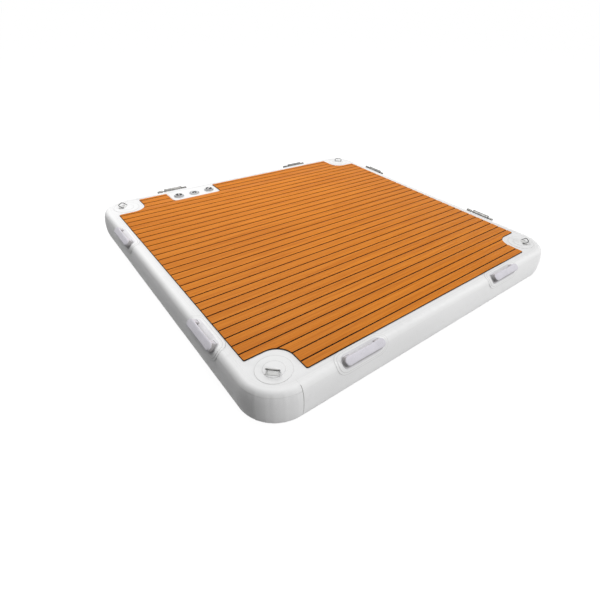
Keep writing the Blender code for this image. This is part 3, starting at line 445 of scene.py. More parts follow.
class Graph:
    """Adds nodes to a shader or geometry tree."""

    def __init__(self, tree):
        self.tree = tree

    def node(self, kind, settings=None, values=None, out=0):
        """Makes a node: its settings first, then its sockets' values or links. Gives one output."""
        made = self.tree.nodes.new(kind)
        for name, value in (settings or {}).items():
            setattr(made, name, value)
        for name, value in (values or {}).items():
            self.feed(made.inputs[name], value)
        return Value(self, made.outputs[out])

    def feed(self, socket, value):
        if isinstance(value, Value):
            self.tree.links.new(value.socket, socket)
        elif socket.type == "RGBA":
            socket.default_value = (*tuple(value)[:3], 1.0)
        else:
            socket.default_value = value

    def mix(self, low, high, share):
        """A colour between two, by a share."""
        settings = {"data_type": "RGBA", "clamp_factor": True}
        return self.node("ShaderNodeMix", settings, {0: share, 6: low, 7: high}, out=2)

    def marked(self, colour, dark):
        """A colour that gives way to a dark one where the piece's edge attribute marks it."""
        mark = self.node("ShaderNodeAttribute", {"attribute_name": "edge"}, out=2)
        return self.mix(colour, dark, mark)

    def noise(self, place, scale, detail=2.0, roughness=0.5):
        values = {"Vector": place, "Scale": scale, "Detail": detail, "Roughness": roughness}
        return self.node("ShaderNodeTexNoise", {"noise_dimensions": "3D"}, values)

    def stretched(self, place, stretch, turn=(0.0, 0.0, 0.0)):
        """A place scaled by a different amount along each axis."""
        return self.node("ShaderNodeMapping", {}, {"Vector": place, "Scale": stretch, "Rotation": turn})

    def between(self, value, low, high):
        """0 below one level, 1 above the other."""
        settings = {"interpolation_type": "SMOOTHSTEP"}
        return self.node("ShaderNodeMapRange", settings, {"Value": value, "From Min": low, "From Max": high})

    def bump(self, height, distance, strength=1.0, under=None):
        values = {"Height": height, "Distance": distance, "Strength": strength}
        if under is not None:
            values["Normal"] = under
        return self.node("ShaderNodeBump", {}, values)


def toned(colour, share):
    """A colour times a share."""
    return tuple(c * share for c in colour)


def new_finish(name, roughness, metallic=0.0, specular=0.5):
    """A material, its graph, its Principled node and the place on the piece."""
    made = bpy.data.materials.new(name)
    made.use_nodes = True
    graph = Graph(made.node_tree)
    shader = made.node_tree.nodes["Principled BSDF"]
    shader.inputs["Roughness"].default_value = roughness
    shader.inputs["Metallic"].default_value = metallic
    shader.inputs["Specular IOR Level"].default_value = specular
    place = graph.node("ShaderNodeTexCoord", out=3)
    return made, graph, shader, place


def axes_of(graph, place):
    """The three coordinates of a place."""
    x = graph.node("ShaderNodeSeparateXYZ", {}, {"Vector": place})
    node = x.socket.node
    return x, Value(graph, node.outputs[1]), Value(graph, node.outputs[2])


def threads(graph, place, pitch):
    """Crossed threads of a woven base, on faces that look any way."""
    waves = [(axis * (2 * pi / pitch)).math("SINE") for axis in axes_of(graph, place)]
    return waves[0] * waves[1] + waves[1] * waves[2] + waves[2] * waves[0]


def coated_fabric(name, colour, glue_and_shade, roughness):
    """PVC coating over woven fabric: cloudy, lightly scuffed, darker where it is marked: glue lines, and
    painted shadow along the lap's edge.
    """
    made, graph, shader, place = new_finish(name, roughness, specular=0.12)
    cloud = graph.noise(place, 2.2, 4.0)
    scuffs = graph.between(graph.noise(graph.stretched(place, (1.0, 1.6, 2.5)), 26.0, 6.0, 0.6), 0.60, 0.74)
    base = graph.mix(toned(colour, 0.955), colour, graph.between(cloud, 0.32, 0.62))
    base = graph.mix(base, toned(colour, 0.88), scuffs * 0.35)
    graph.feed(shader.inputs["Base Color"], graph.marked(base, glue_and_shade))
    graph.feed(shader.inputs["Roughness"], cloud * 0.10 + scuffs * 0.12 + (roughness - 0.05))
    swell = graph.bump(graph.noise(place, 14.0, 2.0), 0.0006, 0.35)
    graph.feed(shader.inputs["Normal"], graph.bump(threads(graph, place, 0.0011), 0.00004, 0.5, swell))
    return made


def teak_foam(looks):
    """Brushed foam boards: a tone for each board, streaks, fine brush lines; dark foam below the skin."""
    made, graph, shader, place = new_finish("Teak foam", 0.62, specular=0.12)
    x, y, z = axes_of(graph, place)
    board = ((y - (FIRST_BOARD_WIDTH - BASE_HIGH.x)) / looks.pitch).math("FLOOR")
    tone = graph.node("ShaderNodeTexWhiteNoise", {"noise_dimensions": "1D"}, {"W": board})
    shifted = graph.node("ShaderNodeCombineXYZ", {}, {0: x + tone * 7.0, 1: y, 2: z})
    broad = graph.noise(graph.stretched(shifted, (1.6, 60.0, 1.0)), 1.0, 3.0, 0.55)
    streak = graph.noise(graph.stretched(shifted, (5.0, 230.0, 1.0), (0.0, 0.0, radians(1.2))), 1.0, 3.0, 0.6)
    brush = graph.noise(graph.stretched(shifted, (16.0, 900.0, 1.0)), 1.0, 2.0, 0.6)
    pores = graph.noise(place, 1500.0, 1.0)
    share = graph.between(broad * 0.35 + streak * 0.45 + brush * 0.20, 0.36, 0.64)
    base = graph.mix(looks.teak_dark, looks.teak_light, share)
    base = graph.mix(base, looks.teak_dark, tone * 0.22)
    base = graph.mix(base, toned(looks.teak_dark, 0.5), graph.between(streak, 0.60, 0.74) * 0.3)
    skin_low = BOARD_HIGH.z - BOARD_SKIN
    base = graph.mix(looks.base, base, graph.between(z, skin_low - BOARD_SKIN / 2, skin_low))
    graph.feed(shader.inputs["Base Color"], base)
    graph.feed(shader.inputs["Roughness"], streak * 0.16 + 0.52)
    fine = graph.bump(pores, 0.00006, 0.5)
    graph.feed(shader.inputs["Normal"], graph.bump(brush * 0.6 + streak * 0.4, 0.00022, 0.6, fine))
    return made


def dark_foam(looks):
    """The deck's dark base sheet, with closed-cell pores."""
    made, graph, shader, place = new_finish("Dark foam", 0.85, specular=0.15)
    pores = graph.node("ShaderNodeTexVoronoi", {"feature": "F1"}, {"Vector": place, "Scale": 900.0})
    dust = graph.noise(place, 30.0, 4.0)
    graph.feed(shader.inputs["Base Color"], graph.mix(looks.base, toned(looks.base, 2.4), dust * 0.5))
    graph.feed(shader.inputs["Roughness"], dust * 0.15 + 0.75)
    graph.feed(shader.inputs["Normal"], graph.bump(pores, 0.0001, 0.5))
    return made


def moulded(name, colour, roughness, well):
    """Moulded nylon: fine spark grain, slight cloudiness, paler where it has rubbed, dark where marked:
    painted shade in grooves and bores, and the caps' dark wells deepened as painted shade.
    """
    made, graph, shader, place = new_finish(name, roughness, specular=0.15)
    grain = graph.noise(place, 2600.0, 2.0)
    cloud = graph.noise(place, 55.0, 4.0)
    base = graph.mix(toned(colour, 0.86), colour, cloud)
    rubbed = graph.between(graph.noise(place, 190.0, 4.0), 0.60, 0.72)
    base = graph.mix(base, tuple(min(1.0, c * 1.5 + 0.02) for c in colour), rubbed * 0.25)
    graph.feed(shader.inputs["Base Color"], graph.marked(base, well))
    graph.feed(shader.inputs["Roughness"], cloud * 0.14 + (roughness - 0.07))
    graph.feed(shader.inputs["Normal"], graph.bump(grain, 0.00003, 0.6))
    return made


def polished_steel(name, colour, roughness):
    """Turned and polished steel: fine turning lines, small scratches, slight stains."""
    made, graph, shader, place = new_finish(name, roughness, metallic=1.0)
    lines = graph.noise(graph.stretched(place, (420.0, 420.0, 60.0)), 1.0, 3.0, 0.7)
    stain = graph.noise(place, 38.0, 5.0)
    scratch = graph.between(graph.noise(graph.stretched(place, (90.0, 900.0, 900.0)), 1.0, 2.0), 0.64, 0.70)
    base = graph.mix(toned(colour, 0.62), colour, graph.between(stain, 0.30, 0.60))
    graph.feed(shader.inputs["Base Color"], base)
    graph.feed(shader.inputs["Roughness"], lines * 0.10 + scratch * 0.14 + (roughness - 0.05))
    graph.feed(shader.inputs["Normal"], graph.bump(lines, 0.00002, 0.5))
    return made


def grip_cloth(name, colour, painted_grip_shade):
    """Soft coated knit over the grip's padding, with painted shade where it is marked."""
    made, graph, shader, place = new_finish(name, 0.7)
    cloud = graph.noise(place, 24.0, 4.0)
    speck = graph.noise(place, 900.0, 2.0, 0.7)
    base = graph.mix(toned(colour, 0.93), colour, graph.between(cloud, 0.30, 0.65))
    base = graph.mix(base, toned(colour, 0.80), graph.between(speck, 0.52, 0.72) * 0.5)
    graph.feed(shader.inputs["Base Color"], graph.marked(base, painted_grip_shade))
    graph.feed(shader.inputs["Roughness"], speck * 0.20 + 0.58)
    shader.inputs["Sheen Weight"].default_value = 0.12
    shader.inputs["Sheen Roughness"].default_value = 0.5
    graph.feed(shader.inputs["Normal"], graph.bump(threads(graph, place, 0.0016), 0.00009, 0.6))
    return made


def woven_webbing(looks):
    """Ribbed webbing: fine ribs across, a herringbone of warp threads along."""
    made, graph, shader, place = new_finish("Woven webbing", 0.8)
    ribs = threads(graph, place, 0.0012)
    fuzz = graph.noise(place, 1400.0, 3.0, 0.7)
    share = graph.between(ribs, -0.5, 0.6) * 0.7 + fuzz * 0.3
    base = graph.mix(toned(looks.webbing, 0.74), looks.webbing, share)
    graph.feed(shader.inputs["Base Color"], base)
    graph.feed(shader.inputs["Roughness"], fuzz * 0.20 + 0.68)
    graph.feed(shader.inputs["Normal"], graph.bump(ribs * 0.5 + fuzz * 0.3, 0.00014, 0.8))
    return made


def fibre(name, colour, pitch):
    """Spun yarn or thread."""
    made, graph, shader, place = new_finish(name, 0.85)
    fuzz = graph.noise(place, 1100.0, 3.0, 0.7)
    graph.feed(shader.inputs["Base Color"], graph.mix(toned(colour, 0.7), colour, fuzz))
    graph.feed(shader.inputs["Roughness"], fuzz * 0.2 + 0.7)
    graph.feed(shader.inputs["Normal"], graph.bump(threads(graph, place, pitch), 0.0001, 0.7))
    return made


def soft_rubber(looks):
    """Matt black rubber with a bloom of dust."""
    made, graph, shader, place = new_finish("Soft rubber", 0.55)
    dust = graph.between(graph.noise(place, 120.0, 5.0), 0.45, 0.75)
    graph.feed(shader.inputs["Base Color"], graph.mix(looks.rubber, (0.06, 0.06, 0.058), dust * 0.5))
    graph.feed(shader.inputs["Roughness"], dust * 0.25 + 0.48)
    graph.feed(shader.inputs["Normal"], graph.bump(graph.noise(place, 1800.0), 0.00003, 0.5))
    return made


def finish_named(name):
    """A finish of the part by its material slot's name, made on first use."""
    found = bpy.data.materials.get("Platform " + name)
    if found:
        return found
    scene = bpy.context.scene
    hull, deck, grip = scene.platform_hull, scene.platform_deck, scene.platform_grips
    valve, metal = scene.platform_valves, scene.platform_metal
    makers = {
        "white_pvc": lambda: coated_fabric("Coated skin", hull.pvc, hull.glue_and_shade, 0.40),
        "white_tape": lambda: coated_fabric("Coated tape", hull.tape, hull.glue_and_shade, 0.44),
        "yarn": lambda: fibre("Drop yarn", (0.72, 0.72, 0.70), 0.0018),
        "dark_foam": lambda: dark_foam(deck),
        "teak_foam": lambda: teak_foam(deck),
        "valve_grey": lambda: moulded("Collar nylon", valve.collar, 0.42, valve.well),
        "cap_grey": lambda: moulded("Cap nylon", valve.cap, 0.38, valve.well),
        "cap_bar": lambda: moulded("Bar nylon", valve.bar, 0.36, valve.well),
        "black_rubber": lambda: soft_rubber(valve),
        "steel": lambda: polished_steel("Polished steel", metal.steel, metal.roughness),
        "ring_steel": lambda: polished_steel("Ring steel", metal.ring, 0.30),
        "spring_steel": lambda: polished_steel("Spring wire", metal.spring, 0.3),
        "grip_grey": lambda: grip_cloth("Grip cloth", grip.pad, grip.painted_grip_shade),
        "grip_base": lambda: grip_cloth("Grip base cloth", grip.base, grip.painted_grip_shade),
        "webbing": lambda: woven_webbing(grip),
        "thread": lambda: fibre("Thread", grip.thread, 0.0005),
    }
    made = makers[name]()
    made.name = "Platform " + name
    return made


def clamped(share):
    """A share held between 0 and 1."""
    return min(1.0, max(0.0, share))


def eased(share):
    """A share that leaves 0 and reaches 1 gently."""
    return share ** 2 * (3 - 2 * share)


def eased_edge(distance, radius):
    """How far a rounded edge has risen at a distance from it, from 0 to 1."""
    return sqrt(1 - max(0.0, 1 - distance / radius) ** 2)


def in_scene(name, data):
    """A new object in the scene."""
    made = bpy.data.objects.new(name, data)
    bpy.context.scene.collection.objects.link(made)
    return made


def evaluated(obj):
    """A mesh of what an object's modifiers make."""
    bpy.context.view_layer.update()
    graph = bpy.context.evaluated_depsgraph_get()
    return bpy.data.meshes.new_from_object(obj.evaluated_get(graph))


def fill_marks(mesh, values):
    """Fills the mesh's edge attribute, which its finish darkens by: glue lines, and painted shade on the
    grips, in the valves' grooves, bores and wells, and beside the lap.
    """
    layer = mesh.attributes.get("edge") or mesh.attributes.new("edge", "FLOAT", "POINT")
    layer.data.foreach_set("value", values)


def tidy_faces(mesh):
    """Merges doubled points and turns the faces outwards."""
    bm = bmesh.new()
    bm.from_mesh(mesh)
    bmesh.ops.remove_doubles(bm, verts=bm.verts[:], dist=MERGE_DISTANCE)
    bmesh.ops.dissolve_degenerate(bm, edges=bm.edges[:], dist=MERGE_DISTANCE)
    bmesh.ops.recalc_face_normals(bm, faces=bm.faces[:])
    bm.to_mesh(mesh)
    bm.free()
    return mesh


def skin(name, rings, loop=False, marks=None):
    """Faces over closed rings of points, joined end to end or capped. Marks fill the edge attribute."""
    count = len(rings[0])
    total = len(rings)
    faces = []
    for r in range(total if loop else total - 1):
        a = r * count
        b = (r + 1) % total * count
        for i in range(count):
            j = (i + 1) % count
            faces.append((a + i, a + j, b + j, b + i))
    if not loop:
        faces.append(tuple(range(count)))
        faces.append(tuple(range((total - 1) * count, total * count)))
    mesh = bpy.data.meshes.new(name)
    mesh.from_pydata([tuple(p) for ring in rings for p in ring], [], faces)
    if marks:
        fill_marks(mesh, [m for ring in marks for m in ring])
    return tidy_faces(mesh)


def arc(centre, radius, start, end, steps):
    """Points on an arc, angles in radians."""
    return [(centre[0] + radius * cos(start + (end - start) * i / steps),
             centre[1] + radius * sin(start + (end - start) * i / steps)) for i in range(steps + 1)]


def rounded(corners, per_turn=ROUND_STEPS):
    """An outline through (x, y, radius) corners; a radius of zero keeps a corner sharp."""
    outline = []
    count = len(corners)
    for i, (x, y, radius) in enumerate(corners):
        if radius == 0:
            outline.append((x, y))
            continue
        here = Vector((x, y))
        back = (Vector(corners[i - 1][:2]) - here).normalized()
        ahead = (Vector(corners[(i + 1) % count][:2]) - here).normalized()
        half = back.angle(ahead) / 2
        middle = here + (back + ahead).normalized() * radius / sin(half)
        first = here + back * radius / tan(half)
        last = here + ahead * radius / tan(half)
        a = atan2(first.y - middle.y, first.x - middle.x)
        b = atan2(last.y - middle.y, last.x - middle.x)
        sweep = (b - a + pi) % (2 * pi) - pi
        steps = max(2, ceil(abs(sweep) / (2 * pi) * per_turn))
        outline += arc(middle, radius, a, a + sweep, steps)
    return outline


def prism(name, outline, low, high):
    """A flat outline raised from one height to another."""
    return skin(name, [[(x, y, low) for x, y in outline], [(x, y, high) for x, y in outline]])


def turned(name, corners, closed=False, steps=ROUND_STEPS):
    """A shape turned about Z through (radius, height, fillet) corners."""
    profile = rounded(corners, FILLET_STEPS)
    angles = [2 * pi * i / steps for i in range(steps)]
    rings = [[(r * cos(a), r * sin(a), z) for a in angles] for r, z in profile]
    return skin(name, rings, loop=closed)


def cylinder(radius, low, high, steps=ROUND_STEPS):
    """A plain cylinder about Z."""
    return turned("cylinder", [(0, low, 0), (radius, low, 0), (radius, high, 0), (0, high, 0)], steps=steps)


def soft_edges(width, segments, angle=40):
    """The modifiers that round the edges which turn by more than an angle."""
    settings = {"width": width, "segments": segments, "limit_method": "ANGLE", "angle_limit": radians(angle)}
    return [("BEVEL", settings)]


def block(name, size, centre, bevel=0.0):
    """A box of the given size about its centre, its edges rounded."""
    x, y = size[0] / 2, size[1] / 2
    corners = [(x, y), (-x, y), (-x, -y), (x, -y)]
    mesh = prism(name, corners, -size[2] / 2, size[2] / 2)
    mesh.transform(Matrix.Translation(centre))
    if bevel:
        mesh = shaped(name, mesh, [("BEVEL", {"width": bevel, "segments": 3})])
    return mesh


def tube(name, points, radius, sides=WIRE_SIDES, loop=False):
    """Round wire along points."""
    rings = []
    total = len(points)
    points = [Vector(p) for p in points]
    across = None
    for i, point in enumerate(points):
        before = points[i - 1] if loop or i else point
        after = points[(i + 1) % total] if loop or i < total - 1 else point
        run = (after - before).normalized()
        if across is None:
            across = run.orthogonal().normalized()
        across = (across - run * across.dot(run)).normalized()
        other = run.cross(across)
        rings.append([point + radius * (across * cos(2 * pi * k / sides) + other * sin(2 * pi * k / sides))
                      for k in range(sides)])
    return skin(name, rings, loop=loop)


def shaped(name, mesh, modifiers, cutters=(), operation="DIFFERENCE"):
    """A mesh after its Booleans and modifiers."""
    work = in_scene(name + "_work", mesh)
    tools = []
    for cutter in cutters:
        tool = in_scene(name + "_tool", cutter)
        cut = work.modifiers.new("cut", "BOOLEAN")
        cut.operation = operation
        cut.solver = "EXACT"
        cut.object = tool
        tools.append(tool)
    for kind, settings in modifiers:
        modifier = work.modifiers.new(kind.lower(), kind)
        for key, value in settings.items():
            setattr(modifier, key, value)
    result = evaluated(work)
    result.name = name
    for used in [work] + tools:
        bpy.data.objects.remove(used, do_unlink=True)
    return result


def together(name, meshes):
    """Several closed meshes in one."""
    bm = bmesh.new()
    for mesh in meshes:
        bm.from_mesh(mesh)
    made = bpy.data.meshes.new(name)
    bm.to_mesh(made)
    bm.free()
    return made


def mark_where(mesh, is_dark):
    """Marks the mesh where a test of (radius, height) holds."""
    fill_marks(mesh, [1.0 if is_dark(hypot(v.co.x, v.co.y), v.co.z) else 0.0 for v in mesh.vertices])


def put(name, mesh, finish, body, stands_for=()):
    """Gives a finished mesh its finish and lets it ride on a body."""
    obj = in_scene(name, mesh)
    mesh.materials.clear()
    mesh.materials.append(finish_named(finish))
    mesh.shade_smooth()
    mesh.set_sharp_from_angle(angle=radians(SMOOTH_ANGLE))
    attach(obj, body)
    if stands_for:
        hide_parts(*stands_for)
    return obj


def new_tree(name, sockets):
    """A geometry tree with named inputs, and its graph and input values."""
    tree = bpy.data.node_groups.new(name, "GeometryNodeTree")
    tree.interface.new_socket("Geometry", in_out="INPUT", socket_type="NodeSocketGeometry")
    for label, kind in sockets:
        tree.interface.new_socket(label, in_out="INPUT", socket_type=kind)
    tree.interface.new_socket("Geometry", in_out="OUTPUT", socket_type="NodeSocketGeometry")
    graph = Graph(tree)
    source = tree.nodes.new("NodeGroupInput")
    return tree, graph, {socket.name: Value(graph, socket) for socket in source.outputs if socket.name}


def end_tree(graph, geometry, finish):
    """Ends a geometry tree in real, painted geometry."""
    real = graph.node("GeometryNodeRealizeInstances", {}, {0: geometry})
    painted = graph.node("GeometryNodeSetMaterial", {}, {"Geometry": real, "Material": finish})
    sink = graph.tree.nodes.new("NodeGroupOutput")
    graph.feed(sink.inputs[0], painted)


def grown(name, mesh, tree, values):
    """The plain mesh that a geometry tree makes of a mesh."""
    work = in_scene(name + "_work", mesh)
    modifier = work.modifiers.new("grow", "NODES")
    modifier.node_group = tree
    for item in tree.interface.items_tree:
        if item.in_out == "INPUT" and item.name in values:
            modifier[item.identifier] = values[item.name]
    result = evaluated(work)
    result.name = name
    work.modifiers.remove(modifier)
    bpy.data.objects.remove(work, do_unlink=True)
    return result


class Shoulder:
    """The hull's smooth section: in from the rim along the top skin, and down round the bulging wall.

    A place on it is the distance from the rim, negative on the top skin; a lift is a height above it."""

    def __init__(self, looks):
        half = TOP / 2
        share = 2 / looks.bulge_power
        angles = np.radians(np.linspace(90, -90, SHOULDER_STEPS + 1))
        rise = np.abs(np.sin(angles)) ** share * np.sign(np.sin(angles))
        out = -looks.wall_bulge * (1 - np.clip(np.cos(angles), 0, 1) ** share)
        margin = HALF_SIDE - BASE_HIGH.x
        self.out = np.concatenate([[-margin], out, [-margin]])
        self.height = np.concatenate([[TOP], half * (1 + rise), [0.0]])
        steps = np.hypot(np.diff(self.out), np.diff(self.height))
        lengths = np.concatenate([[0.0], np.cumsum(steps)])
        self.places = lengths - lengths[1]
        self.angles = np.concatenate([[90], np.degrees(angles), [-90]])
        across = np.gradient(self.out, self.places)
        down = np.gradient(self.height, self.places)
        size = np.hypot(across, down)
        self.normal_out = -down / size
        self.normal_up = across / size

    def place_of(self, angle):
        return float(np.interp(-angle, -self.angles[1:-1], self.places[1:-1]))

    def at(self, place, lift=0.0):
        """The point (out, height) at a place and a lift."""
        out, height, across, up = (float(np.interp(place, self.places, column)) for column in
                                   (self.out, self.height, self.normal_out, self.normal_up))
        size = hypot(across, up)
        return Vector((out + lift * across / size, height + lift * up / size))


class Station:
    """One place round the hull: what it hangs from, which way is out, and how it lies on a corner."""

    def __init__(self, base, turn, corner=None, share=0.0, along=0.0):
        self.base = Vector(base)
        self.outward = Vector((cos(turn), sin(turn)))
        self.corner = corner
        self.share = share
        self.along = along

    def point(self, radius, out, height):
        flat = self.base + self.outward * (radius + out)
        return (flat.x, flat.y, height)


def rim_stations(looks):
    """Stations all round the hull, starting with the far corner, closer together at the lap."""
    inner = HALF_SIDE - looks.corner_radius
    fine = [LAP_SLOPE, 2 * LAP_SLOPE, LAP_LINE_WIDTH, LAP_LINE_WIDTH + LAP_SLOPE]
    stations = []
    for quarter, (sx, sy) in enumerate(((1, 1), (-1, 1), (-1, -1), (1, -1))):
        turn = quarter * pi / 2
        shares = [i / CORNER_STEPS for i in range(CORNER_STEPS + 1)]
        if CORNERS[quarter] == "near":
            lap = LAP_WIDTH / (looks.corner_radius * pi / 2)
            shares = sorted(shares + [1 - lap, 1 - lap - LAP_SLOPE / (looks.corner_radius * pi / 2)])
        for share in shares:
            stations.append(Station((sx * inner, sy * inner), turn + share * pi / 2, quarter, share))
        count = ceil(2 * inner / STRAIGHT_STEP)
        runs = [2 * inner * i / count for i in range(1, count)]
        if CORNERS[quarter] == "near":
            runs = fine + [run for run in runs if run > fine[-1]]
        heading = Vector((-sin(turn + pi / 2), cos(turn + pi / 2)))
        for run in runs:
            base = Vector((sx * inner, sy * inner)) + heading * run
            stations.append(Station(base, turn + pi / 2, None, 0.0, run))
    return stations


def lap_share(station, looks):
    """How far the wall's lapped end has risen at a station, from 0 to 1."""
    if station.corner != CORNERS.index("near"):
        return 0.0
    left = (1 - station.share) * looks.corner_radius * pi / 2
    return clamped((LAP_WIDTH + LAP_RISE - left) / LAP_RISE)


def is_near_front_start(station, reach):
    """Whether a station lies on the straight front side, within a reach of its start at the near corner."""
    return station.corner is None and station.outward.y < -0.5 and station.along < reach


def is_on_lap_line(station):
    """Whether a station lies on the dark line beside the lap: glue, and painted shadow at the foot of the
    lap's edge.
    """
    return is_near_front_start(station, LAP_LINE_WIDTH + LAP_SLOPE / 2)


def unevenness(station, place, shoulder, looks):
    """How far the wall stands out of its true section: folds at the corners, slow waves between them."""
    rim = shoulder.place_of(WALL_ANGLE)
    low = shoulder.place_of(-WALL_ANGLE)
    if not rim < place < low:
        return 0.0
    if station.corner is None:
        fade = clamped(min(place - rim, low - place) / SWELL_FADE)
        waves = sum(share * sin(2 * pi * (station.along / pitch + phase))
                    for pitch, share, phase in SWELL_WAVES)
        ends = sin(pi * min(1.0, station.along / (2 * (HALF_SIDE - looks.corner_radius))))
        return looks.swell_depth * waves * fade * ends
    middle = (rim + low) / 2
    reach = abs(place - middle) / (middle - rim)
    depth = PUCKER_LEAST_SHARE + (1 - PUCKER_LEAST_SHARE) * reach ** 2
    window = clamped(PUCKER_FADE * (1 - reach)) * depth
    waves = sum(share * sin(2 * pi * (count * station.share + phase + PUCKER_SHIFT * station.corner))
                for count, share, phase in PUCKER_WAVES)
    return looks.pucker_depth * waves * window * sin(pi * station.share) ** 0.5


def band(name, stations, section, mark, lift_at, shoulder, looks):
    """A closed section of (place, lift) points carried all round the hull, marked at (station, place)."""
    rings = []
    ring_marks = []
    for station in stations:
        ring = []
        for place, lift in section:
            uneven = unevenness(station, place, shoulder, looks)
            point = shoulder.at(place, lift + uneven + lift_at(station, place, lift))
            ring.append(station.point(looks.corner_radius, point.x, point.y))
        rings.append(ring)
        ring_marks.append([mark(station, place) for place, lift in section])
    return skin(name, rings, loop=True, marks=ring_marks)


def build_wall(looks):
    """The side wall, one strip round the hull with its ends lapped and glued on the front side."""
    shoulder = Shoulder(looks)
    stations = rim_stations(looks)
    upper = shoulder.place_of(TAPE_END_ANGLE) + LAP_SLOPE
    lower = shoulder.place_of(-TAPE_END_ANGLE) - LAP_SLOPE
    outer = sorted([shoulder.place_of(90 - 180 * i / SECTION_STEPS) for i in range(SECTION_STEPS + 1)]
                   + [upper, upper + LAP_SLOPE, lower - LAP_SLOPE, lower])
    inner = [shoulder.place_of(angle) for angle in range(-90, 91, INNER_WALL_STEP)]
    section = [(place, 0.0) for place in outer] + [(place, -SKIN_THICKNESS) for place in inner]

    def lap_lift(station, place, lift):
        laps = lift == 0.0 and upper < place < lower
        return LAP_THICKNESS * lap_share(station, looks) if laps else 0.0

    # Dark line along the lap's edge: glue, and painted shadow at the foot of the edge
    def glue_and_shade(station, place):
        return 1.0 if upper < place < lower and is_on_lap_line(station) else 0.0

    mesh = band("hull_side_wall", stations, section, glue_and_shade, lap_lift, shoulder, looks)
    put("hull_side_wall", mesh, "white_pvc", "float", ["side_wall"])


def build_tapes(looks):
    """The two seam tapes over the joints of wall and skins; the upper one's ends lap on the front side."""
    shoulder = Shoulder(looks)
    stations = rim_stations(looks)
    for name, start, end in (
            ("upper_seam_tape", -looks.tape_reach, shoulder.place_of(TAPE_END_ANGLE)),
            ("lower_seam_tape", shoulder.place_of(-TAPE_END_ANGLE), shoulder.place_of(TAPE_FLOOR_ANGLE))):
        low = CLEARANCE
        high = CLEARANCE + TAPE_THICKNESS
        rise = high - low
        edge = TAPE_BORDER
        places = [start, start + rise, start + edge, start + edge + rise]
        run = end - start - 2 * (edge + rise)
        places += [start + edge + rise + run * i / TAPE_LINES for i in range(1, TAPE_LINES)]
        places += [end - edge - rise, end - edge, end - rise, end]
        seams = [SEAM_PLACE + SEAM_HALF * way for way in (-2, -1, 0, 1, 2)] if start < SEAM_PLACE else []
        places = sorted(places + seams)
        lifts = [low] + [high] * (len(places) - 2) + [low]
        under = places[::4][::-1]
        section = list(zip(places, lifts)) + [(place, low - CLEARANCE / 2) for place in under]
        inner = {start, start + rise}
        outer = {end - rise, end}
        seam = set(seams[1:-1])

        def joint_lift(station, place, lift):
            on_joint = is_near_front_start(station, TAPE_JOINT_LENGTH)
            laps = name == "upper_seam_tape" and lift == high and on_joint
            return TAPE_THICKNESS * TAPE_LAP_SHARE if laps else 0.0

        def border(station, place):
            # The lap's dark line, carried over the upper tape: painted shadow of the lap's edge
            if is_on_lap_line(station) and shoulder.place_of(TAPE_SHADE_LINE_ANGLE) < place < shoulder.place_of(0):
                return TAPE_SHADE_LINE_MARK
            outer_mark = TAPE_OUTER_MARK if station.corner is None else TAPE_CORNER_MARK
            for places_there, shade in ((inner, TAPE_INNER_MARK), (seam, SEAM_MARK), (outer, outer_mark)):
                if place in places_there:
                    return shade
            return 0.0

        mesh = band(name, stations, section, border, joint_lift, shoulder, looks)
        put("hull_" + name, mesh, "white_tape", "float", [name])


def sheet_lines(size, corner_radius, counts):
    """Lines of (s, a, distance to the edge) over a rounded rectangle, closest together at its edge."""
    rows, columns = counts
    half_length, half_width = size[0] / 2, size[1] / 2
    lines = []
    for j in range(rows + 1):
        a = half_width * sin(pi / 2 * SHEET_END_SHARE * (2 * j / rows - 1))
        past = max(0.0, abs(a) - (half_width - corner_radius))
        reach = half_length - corner_radius + sqrt(max(0.0, corner_radius ** 2 - past ** 2))
        line = []
        for i in range(columns + 1):
            s = reach * sin(pi / 2 * (2 * i / columns - 1))
            over_s = abs(s) - (half_length - corner_radius)
            over_a = abs(a) - (half_width - corner_radius)
            outside = hypot(max(over_s, 0.0), max(over_a, 0.0)) + min(max(over_s, over_a), 0.0)
            line.append((s, a, max(0.0, corner_radius - outside)))
        lines.append(line)
    return lines


def sheet(name, lines, over, under, place, mark_width=PATCH_MARK_WIDTH):
    """A closed sheet. Over and under give its lifts at (s, a, distance); place puts (s, a, lift)."""
    rings = []
    marks = []
    for line in lines:
        top = [place(s, a, over(s, a, d)) for s, a, d in line]
        bottom = [place(s, a, under(s, a, d)) for s, a, d in reversed(line)]
        rings.append(top + bottom)
        marks.append([PATCH_MARK * clamped(2 - 2 * d / mark_width) for s, a, d in line]
                     + [PATCH_MARK] * len(line))
    return skin(name, rings, marks=marks)


def patch_lifts(low, high, radius=PATCH_EDGE):
    """The upper and lower lifts of a flat sheet with a rounded edge."""
    return (lambda s, a, d: low + (high - low) * eased_edge(d, radius)), (lambda s, a, d: low)


def side_turn(side):
    """A side's turn about the hull's middle: its outward way is -Y before the turn."""
    return Matrix.Rotation({"front": 0.0, "right": pi / 2, "back": pi, "left": -pi / 2}[side], 3, "Z")


def along_side(side, centre):
    """How far a point of the frame lies along a side, before the side's turn."""
    return (side_turn(side).inverted() @ Vector(centre)).x


def middle_of(node):
    """The middle of a frame node's box."""
    low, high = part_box(node)
    return (low + high) / 2


def on_shoulder(side, along, middle, shoulder):
    """Puts (s, a, lift) on a side's shoulder, a being measured down from the middle place."""
    turn = side_turn(side)

    def place(s, a, lift):
        point = shoulder.at(middle + a, lift)
        return turn @ Vector((along + s, -HALF_SIDE - point.x, point.y))
    return place


def on_top(centre):
    """Puts (s, a, lift) on the hull's flat top, s and a being measured from a centre."""
    return lambda s, a, lift: Vector((centre.x + s, centre.y + a, TOP + lift))


